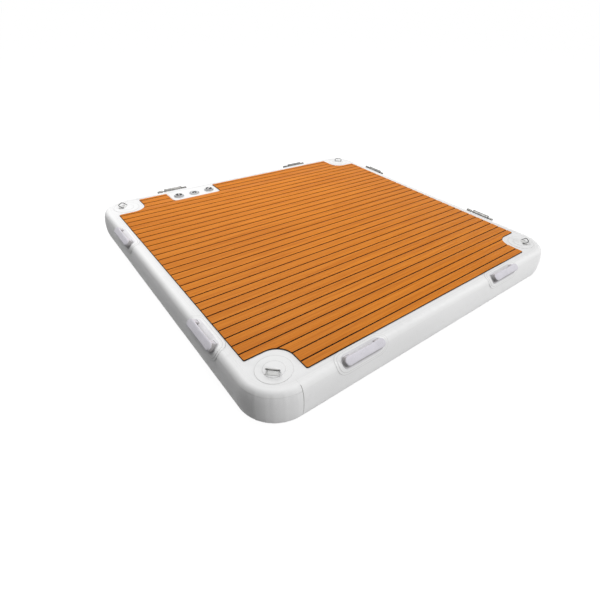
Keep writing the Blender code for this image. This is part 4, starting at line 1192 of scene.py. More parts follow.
def build_corner_patches():
    """Two round patches under each D-ring, the upper one smaller."""
    radius = (PATCH_HIGH.x - PATCH_LOW.x) / 2
    for corner in CORNERS:
        node = "d_ring_patch_" + corner
        sheets = []
        for size, low in ((radius, CLEARANCE), (radius * TOP_PATCH_SHARE, CLEARANCE + PATCH_THICKNESS)):
            over, under = patch_lifts(low, low + PATCH_THICKNESS)
            lines = sheet_lines((2 * size, 2 * size), size, ROUND_PATCH_LINES)
            sheets.append(sheet("patch", lines, over, under, on_top(middle_of(node))))
        put("corner_patch_" + corner, together(node, sheets), "white_tape", "float", [node])


def build_handle_patches(looks):
    """Two stadium patches under each grip, bent over the shoulder."""
    shoulder = Shoulder(looks)
    for side in ("front", "left"):
        for end in ("near", "far"):
            node = "handle_patch_" + side + "_" + end
            box_low, box_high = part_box(node)
            along = along_side(side, (box_low + box_high) / 2)
            patch_length = max(box_high.x - box_low.x, box_high.y - box_low.y)
            sheets = []
            for step, low in ((0.0, PATCH_SEAT), (HANDLE_PATCH_STEP, PATCH_SEAT + PATCH_THICKNESS)):
                size = (patch_length - 2 * step, HANDLE_PATCH_WIDTH - 2 * step)
                over, under = patch_lifts(low, low + PATCH_THICKNESS)
                lines = sheet_lines(size, size[1] / 2, LONG_PATCH_LINES)
                place = on_shoulder(side, along, handle_place(), shoulder)
                sheets.append(sheet("patch", lines, over, under, place))
            put("handle_backing_" + side + "_" + end, together(node, sheets), "white_tape", "float", [node])


def handle_place():
    """The place of a handle's middle line, down from the rim."""
    deck_margin = HALF_SIDE - BASE_HIGH.x
    bulge = HALF_SIDE - SKIN_EDGE - CLEARANCE
    return HANDLE_PATCH_WIDTH / 2 - (deck_margin - bulge - HANDLE_DECK_GAP)


def grip_tunnel(s):
    """How high the finger tunnel's ceiling is at a distance from the grip's middle; 0 in its legs."""
    return GRIP_RISE * eased(clamped((GRIP_LENGTH / 2 - GRIP_LEG - abs(s)) / GRIP_RAMP))


def grip_form():
    """The grip's padded band before it is bent: s along X, across along Y, its height along Z."""
    lines = sheet_lines((GRIP_LENGTH - 2 * GRIP_INSET, GRIP_WIDTH - 2 * GRIP_INSET),
                        GRIP_WIDTH / 2 - GRIP_INSET, GRIP_LINES)
    top = GRIP_RISE + GRIP_THICKNESS - GRIP_INSET

    def face(s, a, d):
        crown = GRIP_CROWN * (1 - (2 * a / GRIP_WIDTH) ** 2)
        return top - GRIP_FACE_EDGE * (1 - eased_edge(d, GRIP_FACE_EDGE)) + crown - GRIP_CROWN

    def floor(s, a, d):
        ceiling = grip_tunnel(s)
        rounding = GRIP_UNDER_EDGE * (1 - eased_edge(d, GRIP_UNDER_EDGE))
        return ceiling + rounding * ceiling / GRIP_RISE

    return sheet("grip", lines, face, floor, lambda *place: Vector(place), GRIP_MARK_WIDTH)


def puffed(mesh, looks):
    """The grip after a short cloth simulation with a little pressure inside, its swelling capped."""
    voxels = {"mode": "VOXEL", "voxel_size": GRIP_VOXEL}
    mesh = shaped("grip", mesh, [("REMESH", voxels)])
    pad = in_scene("grip_cloth", mesh)
    modifier = pad.modifiers.new("cloth", "CLOTH")
    cloth = modifier.settings
    for setting, value in GRIP_CLOTH.items():
        setattr(cloth, setting, value)
    cloth.uniform_pressure_force = looks.pressure
    cloth.effector_weights.gravity = 0
    modifier.point_cache.frame_end = GRIP_FRAMES
    scene = bpy.context.scene
    for number in range(1, GRIP_FRAMES + 1):
        scene.frame_set(number)
    moved = evaluated(pad)
    for vertex, rest in zip(moved.vertices, mesh.vertices):
        step = vertex.co - rest.co
        if step.length > looks.puff:
            step *= looks.puff / step.length
        vertex.co = rest.co + step
    bpy.data.objects.remove(pad, do_unlink=True)
    scene.frame_set(1)
    smooth = {"factor": 0.5, "iterations": 4}
    return shaped("grip", moved, [("SMOOTH", smooth), ("SUBSURF", {"levels": 1, "render_levels": 1})])


def shaded_side(s, a, way):
    """1 along a grip's lower edge and round the end that a way along it names, where painted shade falls; 0
    elsewhere.
    """
    end = (way * s - GRIP_LENGTH / 2 + GRIP_WIDTH / 2) / GRIP_WIDTH
    return max(clamped(4 * a / GRIP_WIDTH), clamped(4 * end))


def side_shade(s, a, height, way):
    """How much painted shade a grip's side gets; its tunnel's ceiling is shaded all over."""
    if grip_tunnel(s) > 0 and height < GRIP_RISE + GRIP_UNDER_EDGE:
        return 1.0
    below = clamped((GRIP_RISE + GRIP_THICKNESS * GRIP_SHADE_SHARE - height) / GRIP_FACE_EDGE)
    return below * max(shaded_side(s, a, way), GRIP_FAINT_SHADE)


def base_shade(s, a, way):
    """How much painted shadow a grip's base gets: beside the grip's lower edge, and at the finger tunnel's
    ends.
    """
    outside = hypot(max(abs(s) - (GRIP_LENGTH - GRIP_WIDTH) / 2, 0.0), a) - GRIP_WIDTH / 2
    if outside < 0:
        tunnel_end = TUNNEL_END_SHADE - TUNNEL_SHADE_FADE * grip_tunnel(s) / GRIP_RISE
        return max(clamped(4 * a / GRIP_WIDTH), clamped(tunnel_end))
    return shaded_side(s, a, way) * clamped(1 - outside / GRIP_SHADE_WIDTH)


class GripSeat:
    """Where a band sits: its foot follows the curved base, its face lies on a flat over it."""

    def __init__(self, shoulder):
        self.shoulder = shoulder
        self.middle = handle_place()
        upper = shoulder.at(self.middle - GRIP_WIDTH / 2, GRIP_SEAT)
        lower = shoulder.at(self.middle + GRIP_WIDTH / 2, GRIP_SEAT)
        self.across = (lower - upper).normalized()
        self.outward = Vector((-self.across.y, self.across.x))
        self.origin = (upper + lower) / 2
        offsets = [GRIP_WIDTH * (i / GRIP_SEAT_STEPS - 0.5) for i in range(GRIP_SEAT_STEPS + 1)]
        self.rise = CLEARANCE + max((shoulder.at(self.middle + a, GRIP_SEAT) - self.origin).dot(self.outward)
                                    for a in offsets)

    def point(self, a, height):
        """The point (out, height) of the band's section at a place across it and a height in it."""
        on_flat = self.origin + self.across * a + self.outward * (self.rise + max(height, GRIP_RISE))
        if height >= GRIP_RISE:
            return on_flat
        foot = self.shoulder.at(self.middle + a, GRIP_BASE_HIGH - GRIP_SINK)
        return foot.lerp(on_flat, height / GRIP_RISE)


def build_grip_base(side, end, along, shoulder):
    """The padded base under a grip."""
    size = (GRIP_LENGTH + 2 * GRIP_BASE_END, GRIP_WIDTH + 2 * GRIP_BASE_SIDE)
    lines = sheet_lines(size, size[1] / 2, GRIP_BASE_LINES)
    over, under = patch_lifts(GRIP_BASE_LOW, GRIP_BASE_HIGH, GRIP_BASE_THICKNESS / 2)
    base = sheet("base", lines, over, under, lambda *place: Vector(place))
    # Painted shadow of the grip on its base
    fill_marks(base, [base_shade(*vertex.co.xy, GRIP_SHADED_ENDS[side]) for vertex in base.vertices])
    place = on_shoulder(side, along, handle_place(), shoulder)
    for vertex in base.vertices:
        vertex.co = place(*vertex.co)
    pad = put("grip_base_" + side + "_" + end, base, "grip_base", "float")


def build_grips(hull, looks):
    """Four padded bands on two legs each, with a finger tunnel between them, on padded bases."""
    shoulder = Shoulder(hull)
    seat = GripSeat(shoulder)
    form = grip_form()
    form = puffed(form, looks)
    for side in ("front", "left"):
        turn = side_turn(side)
        for end in ("near", "far"):
            node = "handle_grip_" + side + "_" + end
            along = along_side(side, middle_of(node))
            build_grip_base(side, end, along, shoulder)
            mesh = form.copy()
            # Painted shade on the grip's sides and tunnel ceiling
            fill_marks(mesh, [side_shade(*vertex.co, GRIP_SHADED_ENDS[side]) for vertex in mesh.vertices])
            for vertex in mesh.vertices:
                s, a, height = vertex.co
                point = seat.point(a, height)
                vertex.co = turn @ Vector((along + s, -HALF_SIDE - point.x, point.y))
            grip = put("padded_grip_" + side + "_" + end, tidy_faces(mesh), "grip_grey", "float", [node])


def notch_place():
    """Where the corner notches of the deck start, from the hull's middle lines."""
    return PATCH_LOW.x - NOTCH_CLEARANCE


def deck_outline(half, step):
    """The deck's outline with its corner notches and its valve notch."""
    notch = notch_place() - step
    mouth = NOTCH_MOUTH_RADIUS
    right = PANEL_HIGH.x + PANEL_MARGIN + step
    left = PANEL_LOW.x - PANEL_MARGIN - step
    front = PANEL_LOW.y - PANEL_MARGIN - step
    corner = [(half, notch, mouth), (notch, notch, NOTCH_CORNER_RADIUS), (notch, half, mouth)]
    corners = corner + [(right, half, mouth), (right, front, VALVE_NOTCH_RADIUS),
                        (left, front, VALVE_NOTCH_RADIUS), (left, half, mouth)]
    for _ in range(3):
        corner = [(-y, x, radius) for x, y, radius in corner]
        corners += corner
    return rounded(corners)


def board_tree():
    """Cuts a blank sheet into boards along evenly spaced grooves."""
    tree, graph, given = new_tree("Deck boards", [
        ("Pitch", "NodeSocketFloat"), ("Groove", "NodeSocketFloat"), ("First groove", "NodeSocketFloat"),
        ("Grooves", "NodeSocketInt"), ("Length", "NodeSocketFloat"), ("Height", "NodeSocketFloat"),
        ("Middle height", "NodeSocketFloat"), ("Finish", "NodeSocketMaterial")])
    start = graph.node("ShaderNodeCombineXYZ", {}, {1: given["First groove"], 2: given["Middle height"]})
    step = graph.node("ShaderNodeCombineXYZ", {}, {1: given["Pitch"]})
    line = graph.node("GeometryNodeMeshLine", {"mode": "OFFSET"},
                      {"Count": given["Grooves"], "Start Location": start, "Offset": step})
    size = graph.node("ShaderNodeCombineXYZ", {},
                      {0: given["Length"], 1: given["Groove"], 2: given["Height"]})
    cutter = graph.node("GeometryNodeMeshCube", {}, {"Size": size})
    cutters = graph.node("GeometryNodeInstanceOnPoints", {}, {"Points": line, "Instance": cutter})
    real = graph.node("GeometryNodeRealizeInstances", {}, {0: cutters})
    cut = graph.node("GeometryNodeMeshBoolean", {"operation": "DIFFERENCE", "solver": "EXACT"},
                     {"Mesh 1": given["Geometry"], "Mesh 2": real})
    end_tree(graph, cut, given["Finish"])
    return tree


def build_deck(looks):
    """The dark base sheet and the boards on it, which show it in the grooves between them."""
    base = prism("base_sheet", deck_outline(BASE_HIGH.x, 0.0), BASE_LOW.z, BASE_HIGH.z)
    base = shaped("base_sheet", base, soft_edges(BASE_EDGE, 2))
    put("deck_base_sheet", base, "dark_foam", "float", ["deck_base"])

    step = BASE_HIGH.x - BOARD_HIGH.x
    blank = prism("boards", deck_outline(BOARD_HIGH.x, step), BOARD_LOW.z, BOARD_HIGH.z)
    first = FIRST_BOARD_WIDTH - BASE_HIGH.x
    thickness = BOARD_HIGH.z - BOARD_LOW.z
    count = ceil((BASE_HIGH.x - NARROWEST_BOARD - first) / looks.pitch)
    boards = grown("boards", blank, board_tree(), {
        "Pitch": looks.pitch, "Groove": looks.groove, "First groove": first, "Grooves": count,
        "Length": 2 * HALF_SIDE, "Height": 3 * thickness,
        "Middle height": (BOARD_LOW.z + BOARD_HIGH.z) / 2, "Finish": finish_named("teak_foam")})
    boards = shaped("boards", boards, soft_edges(looks.edge, 2))
    put("deck_board_set", boards, "teak_foam", "float", ["deck_boards"])


def build_valve_panel():
    """The soft-edged panel that the three valves pass through."""
    over, under = patch_lifts(PANEL_LOW.z - TOP, PANEL_HIGH.z - TOP)
    size = (PANEL_HIGH.x - PANEL_LOW.x, PANEL_HIGH.y - PANEL_LOW.y)
    lines = sheet_lines(size, PANEL_RADIUS, LONG_PATCH_LINES)
    panel = sheet("panel", lines, over, under, on_top((PANEL_LOW + PANEL_HIGH) / 2))
    cutters = []
    for valve in VALVES:
        middle = middle_of(valve + "_gasket")
        hole = cylinder(NECK_RADIUS + CLEARANCE, -OVERRUN, OVERRUN)
        hole.transform(Matrix.Translation((middle.x, middle.y, TOP)))
        cutters.append(hole)
    panel = shaped("panel", panel, [], cutters)
    put("valve_row_panel", panel, "white_tape", "float", ["valve_panel"])


def ring_frame(corner):
    """The hinge point of a corner's ring, its outward way and the way along its bar."""
    hinge = Vector(JOINTS["ring_swing_" + corner]["pos_m"])
    outward = Vector((hinge.x, hinge.y, 0.0)).normalized()
    return hinge, outward, Vector((-outward.y, outward.x, 0.0))


def build_rings(looks):
    """Four welded steel D-rings, leaning outward."""
    half = RING_WIDTH / 2
    outline = rounded([(half, 0, RING_FOOT_RADIUS), (half, RING_HEIGHT, RING_HEAD_RADIUS),
                       (-half, RING_HEIGHT, RING_HEAD_RADIUS), (-half, 0, RING_FOOT_RADIUS)])
    for corner in CORNERS:
        hinge, outward, along = ring_frame(corner)
        lean = radians(RING_LEANS[corner])
        up = outward * sin(lean) + Vector((0.0, 0.0, cos(lean)))
        points = [hinge + along * y + up * z for y, z in outline]
        ring = tube("ring", points, RING_WIRE_RADIUS, loop=True)
        put("steel_d_ring_" + corner, ring, "ring_steel", "ring_" + corner, ["d_ring_" + corner])


def tab_line(low):
    """The webbing's middle line as (outward, height) points: in along the patch, round the bar and back."""
    reach = RING_WIRE_RADIUS + WEB_CLEARANCE + WEB_THICKNESS / 2
    hinge = low + RING_WIRE_RADIUS + WEB_CLEARANCE + WEB_THICKNESS
    bottom = low + WEB_THICKNESS / 2
    top = low + 1.5 * WEB_THICKNESS
    line = [(TAB_LENGTH * (1 - i / TAB_STEPS), bottom) for i in range(TAB_STEPS)]
    line += arc((0.0, hinge), reach, -pi / 2, -2 * pi + pi / 3, 3 * TAB_STEPS)
    start = Vector(line[-1])
    end = Vector((3 * reach, top))
    shares = [i / TAB_STEPS for i in range(1, TAB_STEPS + 1)]
    line += [(start.x + (end.x - start.x) * share, start.y + (end.y - start.y) * eased(share))
             for share in shares]
    return line + [(end.x + (TAB_LENGTH - end.x) * share, top) for share in shares]


def stitch_tree():
    """Lays stitches along lines."""
    tree, graph, given = new_tree("Stitch run", [
        ("Pitch", "NodeSocketFloat"), ("Stitch", "NodeSocketFloat"), ("Thread radius", "NodeSocketFloat"),
        ("Finish", "NodeSocketMaterial")])
    line = graph.node("GeometryNodeMeshToCurve", {}, {"Mesh": given["Geometry"]})
    points = graph.node("GeometryNodeCurveToPoints", {"mode": "LENGTH"},
                        {"Curve": line, "Length": given["Pitch"]})
    turn = Value(graph, points.socket.node.outputs["Rotation"])
    radius = given["Thread radius"]
    ball = graph.node("GeometryNodeMeshUVSphere", {}, {"Segments": 8, "Rings": 6, "Radius": 1.0})
    shape = graph.node("ShaderNodeCombineXYZ", {}, {0: radius, 1: radius, 2: given["Stitch"] * 0.5})
    stitch = graph.node("GeometryNodeTransform", {}, {"Geometry": ball, "Scale": shape})
    stitches = graph.node("GeometryNodeInstanceOnPoints", {},
                          {"Points": points, "Instance": stitch, "Rotation": turn})
    end_tree(graph, stitches, given["Finish"])
    return tree


def tab_half(x):
    """Half the webbing's width at a distance outward of the bar; it flares past its fold."""
    fold = 2 * (RING_WIRE_RADIUS + WEB_CLEARANCE + WEB_THICKNESS)
    near_half = RING_WIDTH / 2 - RING_FOOT_RADIUS - WEB_CLEARANCE
    return near_half + TAB_FLARE * max(0.0, x - fold) / (TAB_LENGTH - fold)


def tab_rings(low, foot, outward, along):
    """Closed rings of points along a tab's folded webbing, thinner at its two edges."""
    line = [Vector(p) for p in tab_line(low)]
    ways = [-1 + 2 * k / WEB_STEPS for k in range(WEB_STEPS + 1)]
    edge = [WEB_THICKNESS / 2 * min(1.0, WEB_EDGE_SHARE + WEB_EDGE_SLOPE * (1 - abs(way))) for way in ways]
    section = list(zip(ways, edge)) + [(way, -lift) for way, lift in zip(ways, edge)][::-1]
    rings = []
    for i, point in enumerate(line):
        run = (line[min(i + 1, len(line) - 1)] - line[max(i - 1, 0)]).normalized()
        normal = Vector((-run.y, run.x))
        half = tab_half(point.x)
        ring = []
        for way, lift in section:
            flat = point + normal * lift
            ring.append(foot + outward * flat.x + along * half * way + Vector((0, 0, flat.y)))
        rings.append(ring)
    return rings


def stitch_rows(low, foot, outward, along, looks):
    """Lines across a tab, one for each row of stitches."""
    height = low + 2 * WEB_THICKNESS + looks.stitch * STITCH_LIFT_SHARE
    ends = []
    for row in STITCH_ROWS:
        half = tab_half(row) - STITCH_MARGIN
        for way in (-1, 1):
            ends.append(foot + outward * row + along * half * way + Vector((0, 0, height)))
    rows = bpy.data.meshes.new("rows")
    rows.from_pydata(ends, [(2 * i, 2 * i + 1) for i in range(len(STITCH_ROWS))], [])
    return rows


def build_tabs(looks):
    """Flared webbing tabs, folded round the rings' bars and stitched."""
    tree = stitch_tree()
    for corner in CORNERS:
        node = "d_ring_tab_" + corner
        hinge, outward, along = ring_frame(corner)
        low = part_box(node)[0].z
        foot = Vector((hinge.x, hinge.y, 0.0))
        tab = skin("tab", tab_rings(low, foot, outward, along))
        put("ring_tab_" + corner, tab, "webbing", "float", [node])
        stitches = grown("stitches", stitch_rows(low, foot, outward, along, looks), tree, {
            "Pitch": looks.stitch_pitch, "Stitch": looks.stitch,
            "Thread radius": looks.stitch * STITCH_RADIUS_SHARE, "Finish": finish_named("thread")})
        put("tab_stitches_" + corner, stitches, "thread", "float")


def rib_tree():
    """Stands ribs round a circle, each looking outward."""
    tree, graph, given = new_tree("Ribs round", [
        ("Count", "NodeSocketInt"), ("Radius", "NodeSocketFloat"), ("Depth", "NodeSocketFloat"),
        ("Width", "NodeSocketFloat"), ("Height", "NodeSocketFloat"), ("Finish", "NodeSocketMaterial")])
    circle = graph.node("GeometryNodeMeshCircle", {},
                        {"Vertices": given["Count"], "Radius": given["Radius"]})
    size = graph.node("ShaderNodeCombineXYZ", {},
                      {0: given["Depth"] * 2, 1: given["Width"], 2: given["Height"]})
    bar = graph.node("GeometryNodeMeshCube", {},
                     {"Size": size, "Vertices X": 3, "Vertices Y": 3, "Vertices Z": 3})
    soft = graph.node("GeometryNodeSubdivisionSurface", {}, {"Mesh": bar, "Level": 1})
    index = graph.node("GeometryNodeInputIndex")
    angle = index * (2 * pi) / given["Count"]
    turn = graph.node("ShaderNodeCombineXYZ", {}, {2: angle})
    ribs = graph.node("GeometryNodeInstanceOnPoints", {},
                      {"Points": circle, "Instance": soft, "Rotation": turn})
    end_tree(graph, ribs, given["Finish"])
    return tree


def ribbed(name, tree, count, radius, depth, width, height, at, finish):
    """A ring of ribs about Z at a height."""
    seed = bpy.data.meshes.new("seed")
    seed.from_pydata([(0, 0, 0)], [], [])
    ribs = grown(name, seed, tree, {"Count": count, "Radius": radius, "Depth": depth, "Width": width,
                                    "Height": height, "Finish": finish})
    ribs.transform(Matrix.Translation((0, 0, at)))
    return ribs


def valve_seat(valve):
    """Where a valve's flange rests."""
    middle = middle_of(valve + "_gasket")
    return Matrix.Translation((middle.x, middle.y, SEAT_HEIGHT + CLEARANCE))


def flange_height():
    """How high a flange stands over its seat."""
    return FLANGE_TOP - SEAT_HEIGHT - CLEARANCE


def tether_low():
    """How high a tether's underside lies over the valve's seat."""
    return flange_height() + 2 * CLEARANCE + CAP_LIP_THICKNESS


def with_ears(collar):
    """The collar with two ears on its flange, drilled for the tether's pivot."""
    pivot_height = tether_low() + TETHER_THICKNESS / 2
    ear_high = pivot_height + TRUNNION_RADIUS + EAR_TOP
    ear_low = flange_height() - 2 * LAND_GROOVE
    ears = []
    for way in (-1, 1):
        x = way * (TETHER_STRAP_WIDTH / 2 + CLEARANCE + EAR_WIDTH / 2)
        ears.append(block("ear", (EAR_WIDTH, EAR_LENGTH, ear_high - ear_low),
                          (x, TETHER_PIVOT_REACH, (ear_high + ear_low) / 2), SMALL_FILLET))
    eared = shaped("collar", collar, [], ears, "UNION")
    reach = TETHER_STRAP_WIDTH / 2 + CLEARANCE + 2 * EAR_WIDTH
    hole = cylinder(TRUNNION_RADIUS + CLEARANCE, -reach, reach, HOLE_STEPS)
    hole.transform(Matrix.Translation((0, TETHER_PIVOT_REACH, pivot_height)) @ LYING_DOWN)
    return shaped("collar", eared, [], [hole])


def build_collar(valve):
    """A valve's body: stepped flange, bore, seat and caged bottom; ears carry the tether."""
    top = flange_height()
    seat_top = top - SEAT_DEPTH
    chamber = CAGE_LIP_THICKNESS - NECK_DEPTH
    fillet = SMALL_FILLET
    mesh = turned("collar", [
        (FLANGE_RADIUS, 0, 0), (FLANGE_RADIUS, top * FLANGE_EDGE_SHARE, fillet * 2),
        (FLANGE_RADIUS - FLANGE_SLOPE, top - LAND_GROOVE, fillet * 2),
        (LAND_RADIUS + LAND_CHAMFER, top - LAND_GROOVE, fillet), (LAND_RADIUS, top, fillet),
        (BORE_RADIUS, top, fillet), (BORE_RADIUS, seat_top, 0), (SEAT_RADIUS, seat_top, fillet),
        (SEAT_RADIUS, seat_top - SEAT_THICKNESS, 0), (BORE_RADIUS, seat_top - SEAT_THICKNESS, 0),
        (BORE_RADIUS, chamber, 0), (CAGE_LIP_RADIUS, chamber, 0), (CAGE_LIP_RADIUS, -NECK_DEPTH, 0),
        (NECK_RADIUS, -NECK_DEPTH, fillet), (NECK_RADIUS, 0, 0)], closed=True)
    if valve in CAP_BAR_ANGLES:
        mesh = with_ears(mesh)
    # Painted shade in the land's groove and down the bore
    groove = top - LAND_GROOVE
    ring = LAND_RADIUS + LAND_CHAMFER / 2
    mark_where(mesh, lambda r, z: abs(r - ring) < LAND_SHADE_REACH and abs(z - groove) < fillet
               or r < BORE_RADIUS + fillet / 2 and z < top - fillet)
    mesh.transform(valve_seat(valve))
    put(valve + "_body", mesh, "valve_grey", "float", [valve + "_collar"])


def build_cap(valve, looks, ribs):
    """A screw cap with a ribbed rim and a sunk well."""
    side = valve.split("_")[0]
    turn = Matrix.Rotation(radians(CAP_BAR_ANGLES[valve]), 4, "Z")
    top = flange_height()
    lip_low = top + CLEARANCE
    lip_high = lip_low + CAP_LIP_THICKNESS
    plate_low = tether_low() + TETHER_THICKNESS + CLEARANCE
    plate_high = plate_low + CAP_TOP_THICKNESS
    plug = BORE_RADIUS - RUNNING_GAP
    fillet = SMALL_FILLET
    mesh = turned("cap", [
        (0, top - CAP_PLUG_DEPTH, 0), (plug, top - CAP_PLUG_DEPTH, fillet), (plug, lip_low, 0),
        (CAP_LIP_RADIUS, lip_low, 0), (CAP_LIP_RADIUS, lip_high, 0), (CAP_WAIST_RADIUS, lip_high, 0),
        (CAP_WAIST_RADIUS, plate_low, 0), (CAP_TOP_RADIUS, plate_low, fillet / 2),
        (CAP_TOP_RADIUS, plate_high, fillet), (CAP_TOP_RADIUS - CAP_RIM_WIDTH, plate_high, fillet),
        (CAP_TOP_RADIUS - CAP_RIM_WIDTH - CAP_WELL_DEPTH / 2, plate_high - CAP_WELL_DEPTH, fillet / 2),
        (0, plate_high - CAP_WELL_DEPTH, 0)])
    rim = ribbed("ribs", ribs, looks.ribs, CAP_TOP_RADIUS, looks.rib_depth, looks.rib_depth * RIB_WIDTH_SHARE,
                 CAP_TOP_THICKNESS * RIB_HEIGHT_SHARE, (plate_low + plate_high) / 2, finish_named("cap_grey"))
    cap = together("cap", [mesh, rim])
    # The well's floor: its own dark, deepened as painted shade
    well = plate_high - CAP_WELL_DEPTH
    mark_where(cap, lambda r, z: r < CAP_TOP_RADIUS - CAP_RIM_WIDTH and abs(z - well) < CAP_WELL_DEPTH / 4)
    cap.transform(valve_seat(valve) @ turn)
    put(valve + "_screw_cap", cap, "cap_grey", side + "_cap", [valve + "_cap"])
    build_cap_bar(valve, valve_seat(valve) @ turn, well, plate_high)


def build_cap_bar(valve, place, well, plate_high):
    """The grip bar across a cap's well."""
    half = CAP_BAR_WIDTH / 2
    ends = ((1, 1), (-1, 1), (-1, -1), (1, -1))
    outline = rounded([(CAP_BAR_LENGTH / 2 * x, half * y, half * CAP_BAR_END_SHARE) for x, y in ends], 40)
    bar = prism("bar", outline, well - CLEARANCE, plate_high + CAP_BAR_HEIGHT)
    bar = shaped("bar", bar, soft_edges(CAP_BAR_EDGE, 4, 50))
    bar.transform(place)
    # Painted lighter than the cap as a highlight
    put(valve + "_cap_bar", bar, "cap_bar", valve.split("_")[0] + "_cap")


def build_tether(valve):
    """The flexible ring and strap that keep a cap, pivoting in the collar's ears."""
    side = valve.split("_")[0]
    low = tether_low()
    high = low + TETHER_THICKNESS
    inner = CAP_WAIST_RADIUS + RUNNING_GAP
    outer = inner + TETHER_RING_WIDTH
    fillet = TETHER_THICKNESS / 3
    ring = turned("ring", [(outer, high, fillet), (outer, low, fillet), (inner, low, 0), (inner, high, 0)],
                  closed=True)
    pivot = Matrix.Translation((0, TETHER_PIVOT_REACH, low + TETHER_THICKNESS / 2))
    start = outer - TETHER_RING_WIDTH / 2
    strap_height = TETHER_THICKNESS * TETHER_STRAP_SHARE
    strap = block("strap", (TETHER_STRAP_WIDTH, TETHER_PIVOT_REACH - start, strap_height),
                  (0, (TETHER_PIVOT_REACH + start) / 2, low + TETHER_THICKNESS / 2))
    half = TETHER_STRAP_WIDTH / 2
    pin = half + TRUNNION_LENGTH
    roll = turned("roll", [
        (0, -pin, 0), (TRUNNION_RADIUS, -pin, 0), (TRUNNION_RADIUS, -half, 0),
        (TETHER_ROLL_RADIUS, -half, fillet), (TETHER_ROLL_RADIUS, half, fillet),
        (TRUNNION_RADIUS, half, 0), (TRUNNION_RADIUS, pin, 0), (0, pin, 0)], steps=SMALL_STEPS)
    roll.transform(pivot @ LYING_DOWN)
    mesh = shaped("tether", ring, [], [strap, roll], "UNION")
    mesh.transform(valve_seat(valve))
    put(valve + "_keeper", mesh, "valve_grey", side + "_tether", [valve + "_tether"])


def build_plunger(valve):
    """The sprung plunger inside an inflation valve."""
    seat_top = flange_height() - SEAT_DEPTH
    disc_high = seat_top - SEAT_THICKNESS - CLEARANCE
    disc_low = disc_high - DISC_THICKNESS
    button = seat_top + BUTTON_HEIGHT
    fillet = SMALL_FILLET
    mesh = turned("plunger", [
        (0, button, 0), (BUTTON_RADIUS, button, fillet), (BUTTON_RADIUS, button - BUTTON_THICKNESS, 0),
        (STEM_RADIUS, button - BUTTON_THICKNESS, 0), (STEM_RADIUS, disc_high, 0), (DISC_RADIUS, disc_high, 0),
        (DISC_RADIUS, disc_low, fillet), (0, disc_low, 0)], steps=PLUNGER_STEPS)
    mesh.transform(valve_seat(valve))
    put(valve + "_stem", mesh, "cap_grey", valve.split("_")[0] + "_plunger", [valve + "_plunger"])


def build_poppet():
    """The relief valve's disc with its stem, and the pale nub on it."""
    valve = "relief_valve"
    seat_top = flange_height() - SEAT_DEPTH
    low = seat_top + CLEARANCE
    high = low + DISC_THICKNESS
    nub = high + POPPET_NUB_HEIGHT
    washer = seat_top - SEAT_THICKNESS - POPPET_STEM_LENGTH
    fillet = SMALL_FILLET
    disc = turned("disc", [
        (0, high, 0), (POPPET_RADIUS, high, fillet), (POPPET_RADIUS, low, 0), (STEM_RADIUS, low, 0),
        (STEM_RADIUS, washer + WASHER_THICKNESS, 0), (WASHER_RADIUS, washer + WASHER_THICKNESS, 0),
        (WASHER_RADIUS, washer, 0), (0, washer, 0)], steps=PLUNGER_STEPS)
    disc.transform(valve_seat(valve))
    put("relief_disc", disc, "black_rubber", "relief_poppet", ["relief_valve_poppet"])
    button = turned("nub", [(0, nub, 0), (STEM_RADIUS * POPPET_NUB_TOP_SHARE, nub, fillet),
                            (STEM_RADIUS * POPPET_NUB_FOOT_SHARE, high, 0), (0, high, 0)], steps=SMALL_STEPS)
    button.transform(valve_seat(valve))
    # The nub wears the bar's nylon, painted lighter as a highlight
    put("relief_nub", button, "cap_bar", "relief_poppet")


def coupling_frame(name, shoulder):
    """The matrix of a coupling: X along its pin, Z off the pad."""
    side = name.split("_")[0]
    pin_low, pin_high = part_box("coupling_pin_" + name)
    centre = (pin_low + pin_high) / 2
    barrel = middle_of("coupling_barrel_" + name)
    along = along_side(side, barrel)
    local = side_turn(side).inverted() @ centre
    lower, upper = (shoulder.at(shoulder.place_of(angle)) for angle in COUPLING_ANGLES)
    run = lower - upper
    tilt = atan2(-run.y, run.x)
    return (side_turn(side).to_4x4() @ Matrix.Translation((along, local.y, local.z))
            @ Matrix.Rotation(tilt, 4, "X"))


def build_coupling_pad(name, shoulder):
    """The backing patch of a coupling, on the hull's shoulder."""
    side = name.split("_")[0]
    node = "coupling_pad_" + name
    low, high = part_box(node)
    size = (max(high.x - low.x, high.y - low.y), COUPLING_PAD_WIDTH)
    middle = sum(shoulder.place_of(angle) for angle in COUPLING_ANGLES) / 2
    over, under = patch_lifts(PATCH_SEAT, PATCH_SEAT + PATCH_THICKNESS)
    place = on_shoulder(side, along_side(side, (low + high) / 2), middle, shoulder)
    pad = sheet("pad", sheet_lines(size, PAD_CORNER_RADIUS, PAD_LINES), over, under, place)
    put("coupling_backing_" + name, pad, "white_tape", "float", [node])


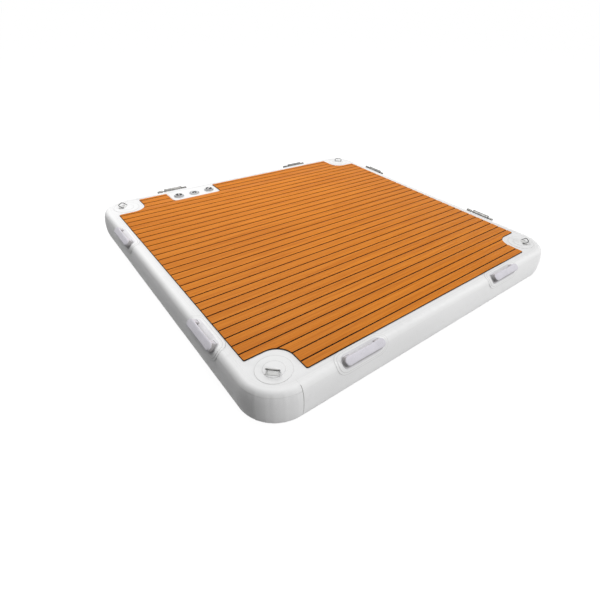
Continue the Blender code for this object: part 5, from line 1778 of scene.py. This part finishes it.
def build_barrel(name, matrix):
    """A coupling's grooved barrel on its foot."""
    half = BARREL_LENGTH / 2
    band_in = half - BARREL_BAND
    bore = PIN_RADIUS + PIN_CLEARANCE
    groove = BARREL_RADIUS - BARREL_GROOVE
    fillet = SMALL_FILLET
    barrel = turned("barrel", [
        (bore, half, fillet / 2), (BARREL_RADIUS, half, BARREL_EDGE), (BARREL_RADIUS, band_in, fillet),
        (groove, band_in - fillet, fillet / 3), (groove, -band_in + fillet, fillet / 3),
        (BARREL_RADIUS, -band_in, fillet), (BARREL_RADIUS, -half, BARREL_EDGE), (bore, -half, fillet / 2)],
        closed=True)
    barrel.transform(LYING_DOWN)
    low = -BARREL_RADIUS - BARREL_LIFT
    high = -BARREL_RADIUS * FOOT_TOP_SHARE
    foot = block("foot", (FOOT_LENGTH, FOOT_WIDTH, high - low), (0, 0, (low + high) / 2), SMALL_FILLET)
    barrel = shaped("barrel", barrel, [], [foot], "UNION")
    barrel.transform(matrix)
    put("barrel_" + name, barrel, "steel", "float", ["coupling_barrel_" + name])


def build_pin(name, matrix, looks, ribs):
    """A coupling's pull-out pin with its knurled knob."""
    half = BARREL_LENGTH / 2
    tail = -half - PIN_TAIL
    knob = half + PIN_NECK
    end = knob + KNOB_LENGTH
    groove_start = tail + PIN_GROOVE_PLACE
    groove_end = groove_start + 2 * PIN_GROOVE + PIN_GROOVE_LENGTH
    fillet = SMALL_FILLET
    pin = turned("pin", [
        (0, tail, 0), (PIN_RADIUS, tail, PIN_END_EDGE), (PIN_RADIUS, groove_start, 0),
        (PIN_RADIUS - PIN_GROOVE, groove_start + PIN_GROOVE, 0),
        (PIN_RADIUS - PIN_GROOVE, groove_end - PIN_GROOVE, 0), (PIN_RADIUS, groove_end, 0),
        (PIN_RADIUS, half, 0), (PIN_NECK_RADIUS, half, fillet), (PIN_NECK_RADIUS, knob, fillet),
        (KNOB_RADIUS, knob, KNOB_NECK_EDGE), (KNOB_RADIUS - KNOB_WAIST, (knob + end) / 2, KNOB_WAIST_RADIUS),
        (KNOB_RADIUS, end, KNOB_END_EDGE), (0, end, 0)])
    knurls = ribbed("knurls", ribs, looks.knurls, KNOB_RADIUS - KNURL_SINK, KNURL_DEPTH, KNURL_WIDTH,
                    KNOB_LENGTH * KNURL_SHARE, (knob + end) / 2, finish_named("steel"))
    pin = together("pin", [pin, knurls])
    pin.transform(matrix @ LYING_DOWN)
    put("pull_pin_" + name, pin, "steel", "pin_" + name, ["coupling_pin_" + name])


def dress_frame_nodes():
    """Gives every frame node that still shows its finish."""
    slots = {"top_skin": "white_pvc", "bottom_skin": "white_pvc", "yarn_rows": "yarn"}
    for valve in VALVES:
        slots[valve + "_gasket"] = "black_rubber"
        slots[valve + "_clamp_nut"] = "valve_grey"
        slots[valve + "_spring"] = "spring_steel"
    for node, slot in slots.items():
        materials = frame["nodes"][node].data.materials
        if materials:
            materials[0] = finish_named(slot)
        else:
            materials.append(finish_named(slot))


def build_camera():
    """The camera at the photograph's place and angle."""
    data = bpy.data.cameras.new("Camera")
    data.sensor_width = SENSOR_WIDTH
    data.lens = FOCAL_PIXELS / FRAME_WIDTH * SENSOR_WIDTH
    data.shift_x = (FRAME_WIDTH / 2 - PRINCIPAL_PIXEL[0]) / FRAME_WIDTH
    data.shift_y = (PRINCIPAL_PIXEL[1] - FRAME_WIDTH / 2) / FRAME_WIDTH
    data.clip_end = VIEW_DEPTH
    camera = in_scene("Camera", data)
    camera.location = CAMERA_PLACE
    camera.rotation_euler = Euler([radians(a) for a in CAMERA_TURN])
    bpy.context.scene.camera = camera


def seen_rays(graph):
    """1 for rays that show the background: from the camera, or off or through the object."""
    path = graph.node("ShaderNodeLightPath")
    outputs = path.socket.node.outputs
    camera, glossy, through = (Value(graph, outputs[name]) for name in
                               ("Is Camera Ray", "Is Glossy Ray", "Is Transmission Ray"))
    return camera.math("MAXIMUM", glossy).math("MAXIMUM", through)


def build_floor(looks):
    """A pale floor, white to the camera, that keeps a faint shadow."""
    half = looks.floor_size / 2
    corners = [(-half, -half, 0), (half, -half, 0), (half, half, 0), (-half, half, 0)]
    mesh = bpy.data.meshes.new("floor")
    mesh.from_pydata(corners, [], [(0, 1, 2, 3)])
    floor = in_scene("floor", mesh)
    floor.location.z = -CLEARANCE
    made, graph, shader, _ = new_finish("Pale floor", 1.0)
    made.node_tree.nodes.remove(shader)
    seen = seen_rays(graph)
    matt = graph.node("ShaderNodeBsdfDiffuse", {}, {"Color": looks.floor_bounce})
    pale = graph.node("ShaderNodeBsdfDiffuse", {}, {"Color": looks.floor_shade})
    glow = graph.node("ShaderNodeEmission", {}, {"Color": (1.0, 1.0, 1.0), "Strength": looks.floor_glow})
    lit = graph.node("ShaderNodeAddShader", {}, {0: pale, 1: glow})
    white = graph.node("ShaderNodeMixShader", {}, {0: seen, 1: matt, 2: lit})
    sink = made.node_tree.nodes["Material Output"]
    graph.feed(sink.inputs["Surface"], white)
    mesh.materials.append(made)


def build_sky(looks):
    """Even light from all round, white where it is seen."""
    world = bpy.data.worlds.new("Sky")
    bpy.context.scene.world = world
    world.use_nodes = True
    graph = Graph(world.node_tree)
    seen = seen_rays(graph)
    soft = graph.node("ShaderNodeBackground", {}, {"Color": (1.0, 1.0, 1.0), "Strength": looks.sky})
    white = graph.node("ShaderNodeBackground", {}, {"Color": (1.0, 1.0, 1.0), "Strength": 1.0})
    both = graph.node("ShaderNodeMixShader", {}, {0: seen, 1: soft, 2: white})
    graph.feed(world.node_tree.nodes["World Output"].inputs["Surface"], both)


def build_lamp(name, place, size, power):
    """A square soft light that looks at the object."""
    data = bpy.data.lights.new(name, "AREA")
    data.shape = "SQUARE"
    data.size = size
    data.energy = power
    lamp = in_scene(name, data)
    lamp.location = place
    lamp.rotation_euler = (Vector(LAMP_TARGET) - Vector(place)).to_track_quat("-Z", "Y").to_euler()


class PLATFORM_OT_stage(bpy.types.Operator):
    """Camera, soft light, floor and sky"""
    bl_idname = "platform.stage"
    bl_label = "Stage"

    def execute(self, context):
        looks = context.scene.platform_stage
        build_camera()
        build_floor(looks)
        build_sky(looks)
        build_lamp("Top", TOP_LAMP_PLACE, TOP_LAMP_SIZE, looks.top_power)
        build_lamp("Key", KEY_LAMP_PLACE, KEY_LAMP_SIZE, looks.key_power)
        context.scene.view_settings.view_transform = "Standard"
        return {"FINISHED"}


class PLATFORM_OT_hull(bpy.types.Operator):
    """Side wall with its lap, and the seam tapes"""
    bl_idname = "platform.hull"
    bl_label = "Hull"

    def execute(self, context):
        looks = context.scene.platform_hull
        build_wall(looks)
        build_tapes(looks)
        return {"FINISHED"}


class PLATFORM_OT_patches(bpy.types.Operator):
    """Corner patches, handle patches and the valve row's panel"""
    bl_idname = "platform.patches"
    bl_label = "Patches"

    def execute(self, context):
        looks = context.scene.platform_hull
        build_corner_patches()
        build_handle_patches(looks)
        build_valve_panel()
        return {"FINISHED"}


class PLATFORM_OT_deck(bpy.types.Operator):
    """Dark base sheet and boards"""
    bl_idname = "platform.deck"
    bl_label = "Deck"

    def execute(self, context):
        build_deck(context.scene.platform_deck)
        return {"FINISHED"}


class PLATFORM_OT_grips(bpy.types.Operator):
    """Padded grips"""
    bl_idname = "platform.grips"
    bl_label = "Grips"

    def execute(self, context):
        build_grips(context.scene.platform_hull, context.scene.platform_grips)
        return {"FINISHED"}


class PLATFORM_OT_rings(bpy.types.Operator):
    """D-rings and the stitched tabs that hold them"""
    bl_idname = "platform.rings"
    bl_label = "Rings"

    def execute(self, context):
        build_rings(context.scene.platform_metal)
        build_tabs(context.scene.platform_grips)
        return {"FINISHED"}


class PLATFORM_OT_valves(bpy.types.Operator):
    """Valve bodies, caps, tethers, plungers and the relief disc"""
    bl_idname = "platform.valves"
    bl_label = "Valves"

    def execute(self, context):
        looks = context.scene.platform_valves
        ribs = rib_tree()
        for valve in VALVES:
            build_collar(valve)
            if valve in CAP_BAR_ANGLES:
                build_cap(valve, looks, ribs)
                build_tether(valve)
                build_plunger(valve)
        build_poppet()
        return {"FINISHED"}


class PLATFORM_OT_couplings(bpy.types.Operator):
    """Coupling pads, barrels and pull-out pins"""
    bl_idname = "platform.couplings"
    bl_label = "Couplings"

    def execute(self, context):
        ribs = rib_tree()
        shoulder = Shoulder(context.scene.platform_hull)
        for name in COUPLINGS:
            matrix = coupling_frame(name, shoulder)
            build_coupling_pad(name, shoulder)
            build_barrel(name, matrix)
            build_pin(name, matrix, context.scene.platform_metal, ribs)
        return {"FINISHED"}


class PLATFORM_OT_frame_nodes(bpy.types.Operator):
    """Finishes of the skins, yarn, gaskets, nuts and springs"""
    bl_idname = "platform.frame_nodes"
    bl_label = "Skins and inner pieces"

    def execute(self, context):
        dress_frame_nodes()
        return {"FINISHED"}


class PLATFORM_PT_panel(bpy.types.Panel):
    """Lists the platform's pieces and their sizes"""
    bl_label = "Swim platform"
    bl_idname = "PLATFORM_PT_panel"
    bl_space_type = "VIEW_3D"
    bl_region_type = "UI"
    bl_category = "Platform"

    def draw(self, context):
        for group, operators in PANEL_ROWS:
            box = self.layout.box()
            looks = getattr(context.scene, group)
            for name in looks.__annotations__:
                box.prop(looks, name)
            for operator in operators:
                box.operator(operator.bl_idname)


GROUPS = {
    "platform_hull": HullLooks,
    "platform_deck": DeckLooks,
    "platform_grips": GripLooks,
    "platform_valves": ValveLooks,
    "platform_metal": MetalLooks,
    "platform_stage": StageLooks,
}
PANEL_ROWS = (
    ("platform_hull", (PLATFORM_OT_hull, PLATFORM_OT_patches, PLATFORM_OT_frame_nodes)),
    ("platform_deck", (PLATFORM_OT_deck,)),
    ("platform_grips", (PLATFORM_OT_grips, PLATFORM_OT_rings)),
    ("platform_valves", (PLATFORM_OT_valves,)),
    ("platform_metal", (PLATFORM_OT_couplings,)),
    ("platform_stage", (PLATFORM_OT_stage,)),
)
OPERATORS = [operator for group, operators in PANEL_ROWS for operator in operators]


def register():
    """Adds the property groups, operators and panel."""
    for name, group in GROUPS.items():
        bpy.utils.register_class(group)
        setattr(bpy.types.Scene, name, PointerProperty(type=group))
    for operator in OPERATORS:
        bpy.utils.register_class(operator)
    bpy.utils.register_class(PLATFORM_PT_panel)


def unregister():
    """Takes them away again."""
    bpy.utils.unregister_class(PLATFORM_PT_panel)
    for operator in reversed(OPERATORS):
        bpy.utils.unregister_class(operator)
    for name, group in reversed(list(GROUPS.items())):
        delattr(bpy.types.Scene, name)
        bpy.utils.unregister_class(group)


def main():
    """Registers the add-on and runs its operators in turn."""
    register()
    bpy.ops.platform.stage()
    bpy.ops.platform.hull()
    bpy.ops.platform.patches()
    bpy.ops.platform.deck()
    bpy.ops.platform.grips()
    bpy.ops.platform.rings()
    bpy.ops.platform.valves()
    bpy.ops.platform.couplings()
    bpy.ops.platform.frame_nodes()


if __name__ == "__main__":
    main()
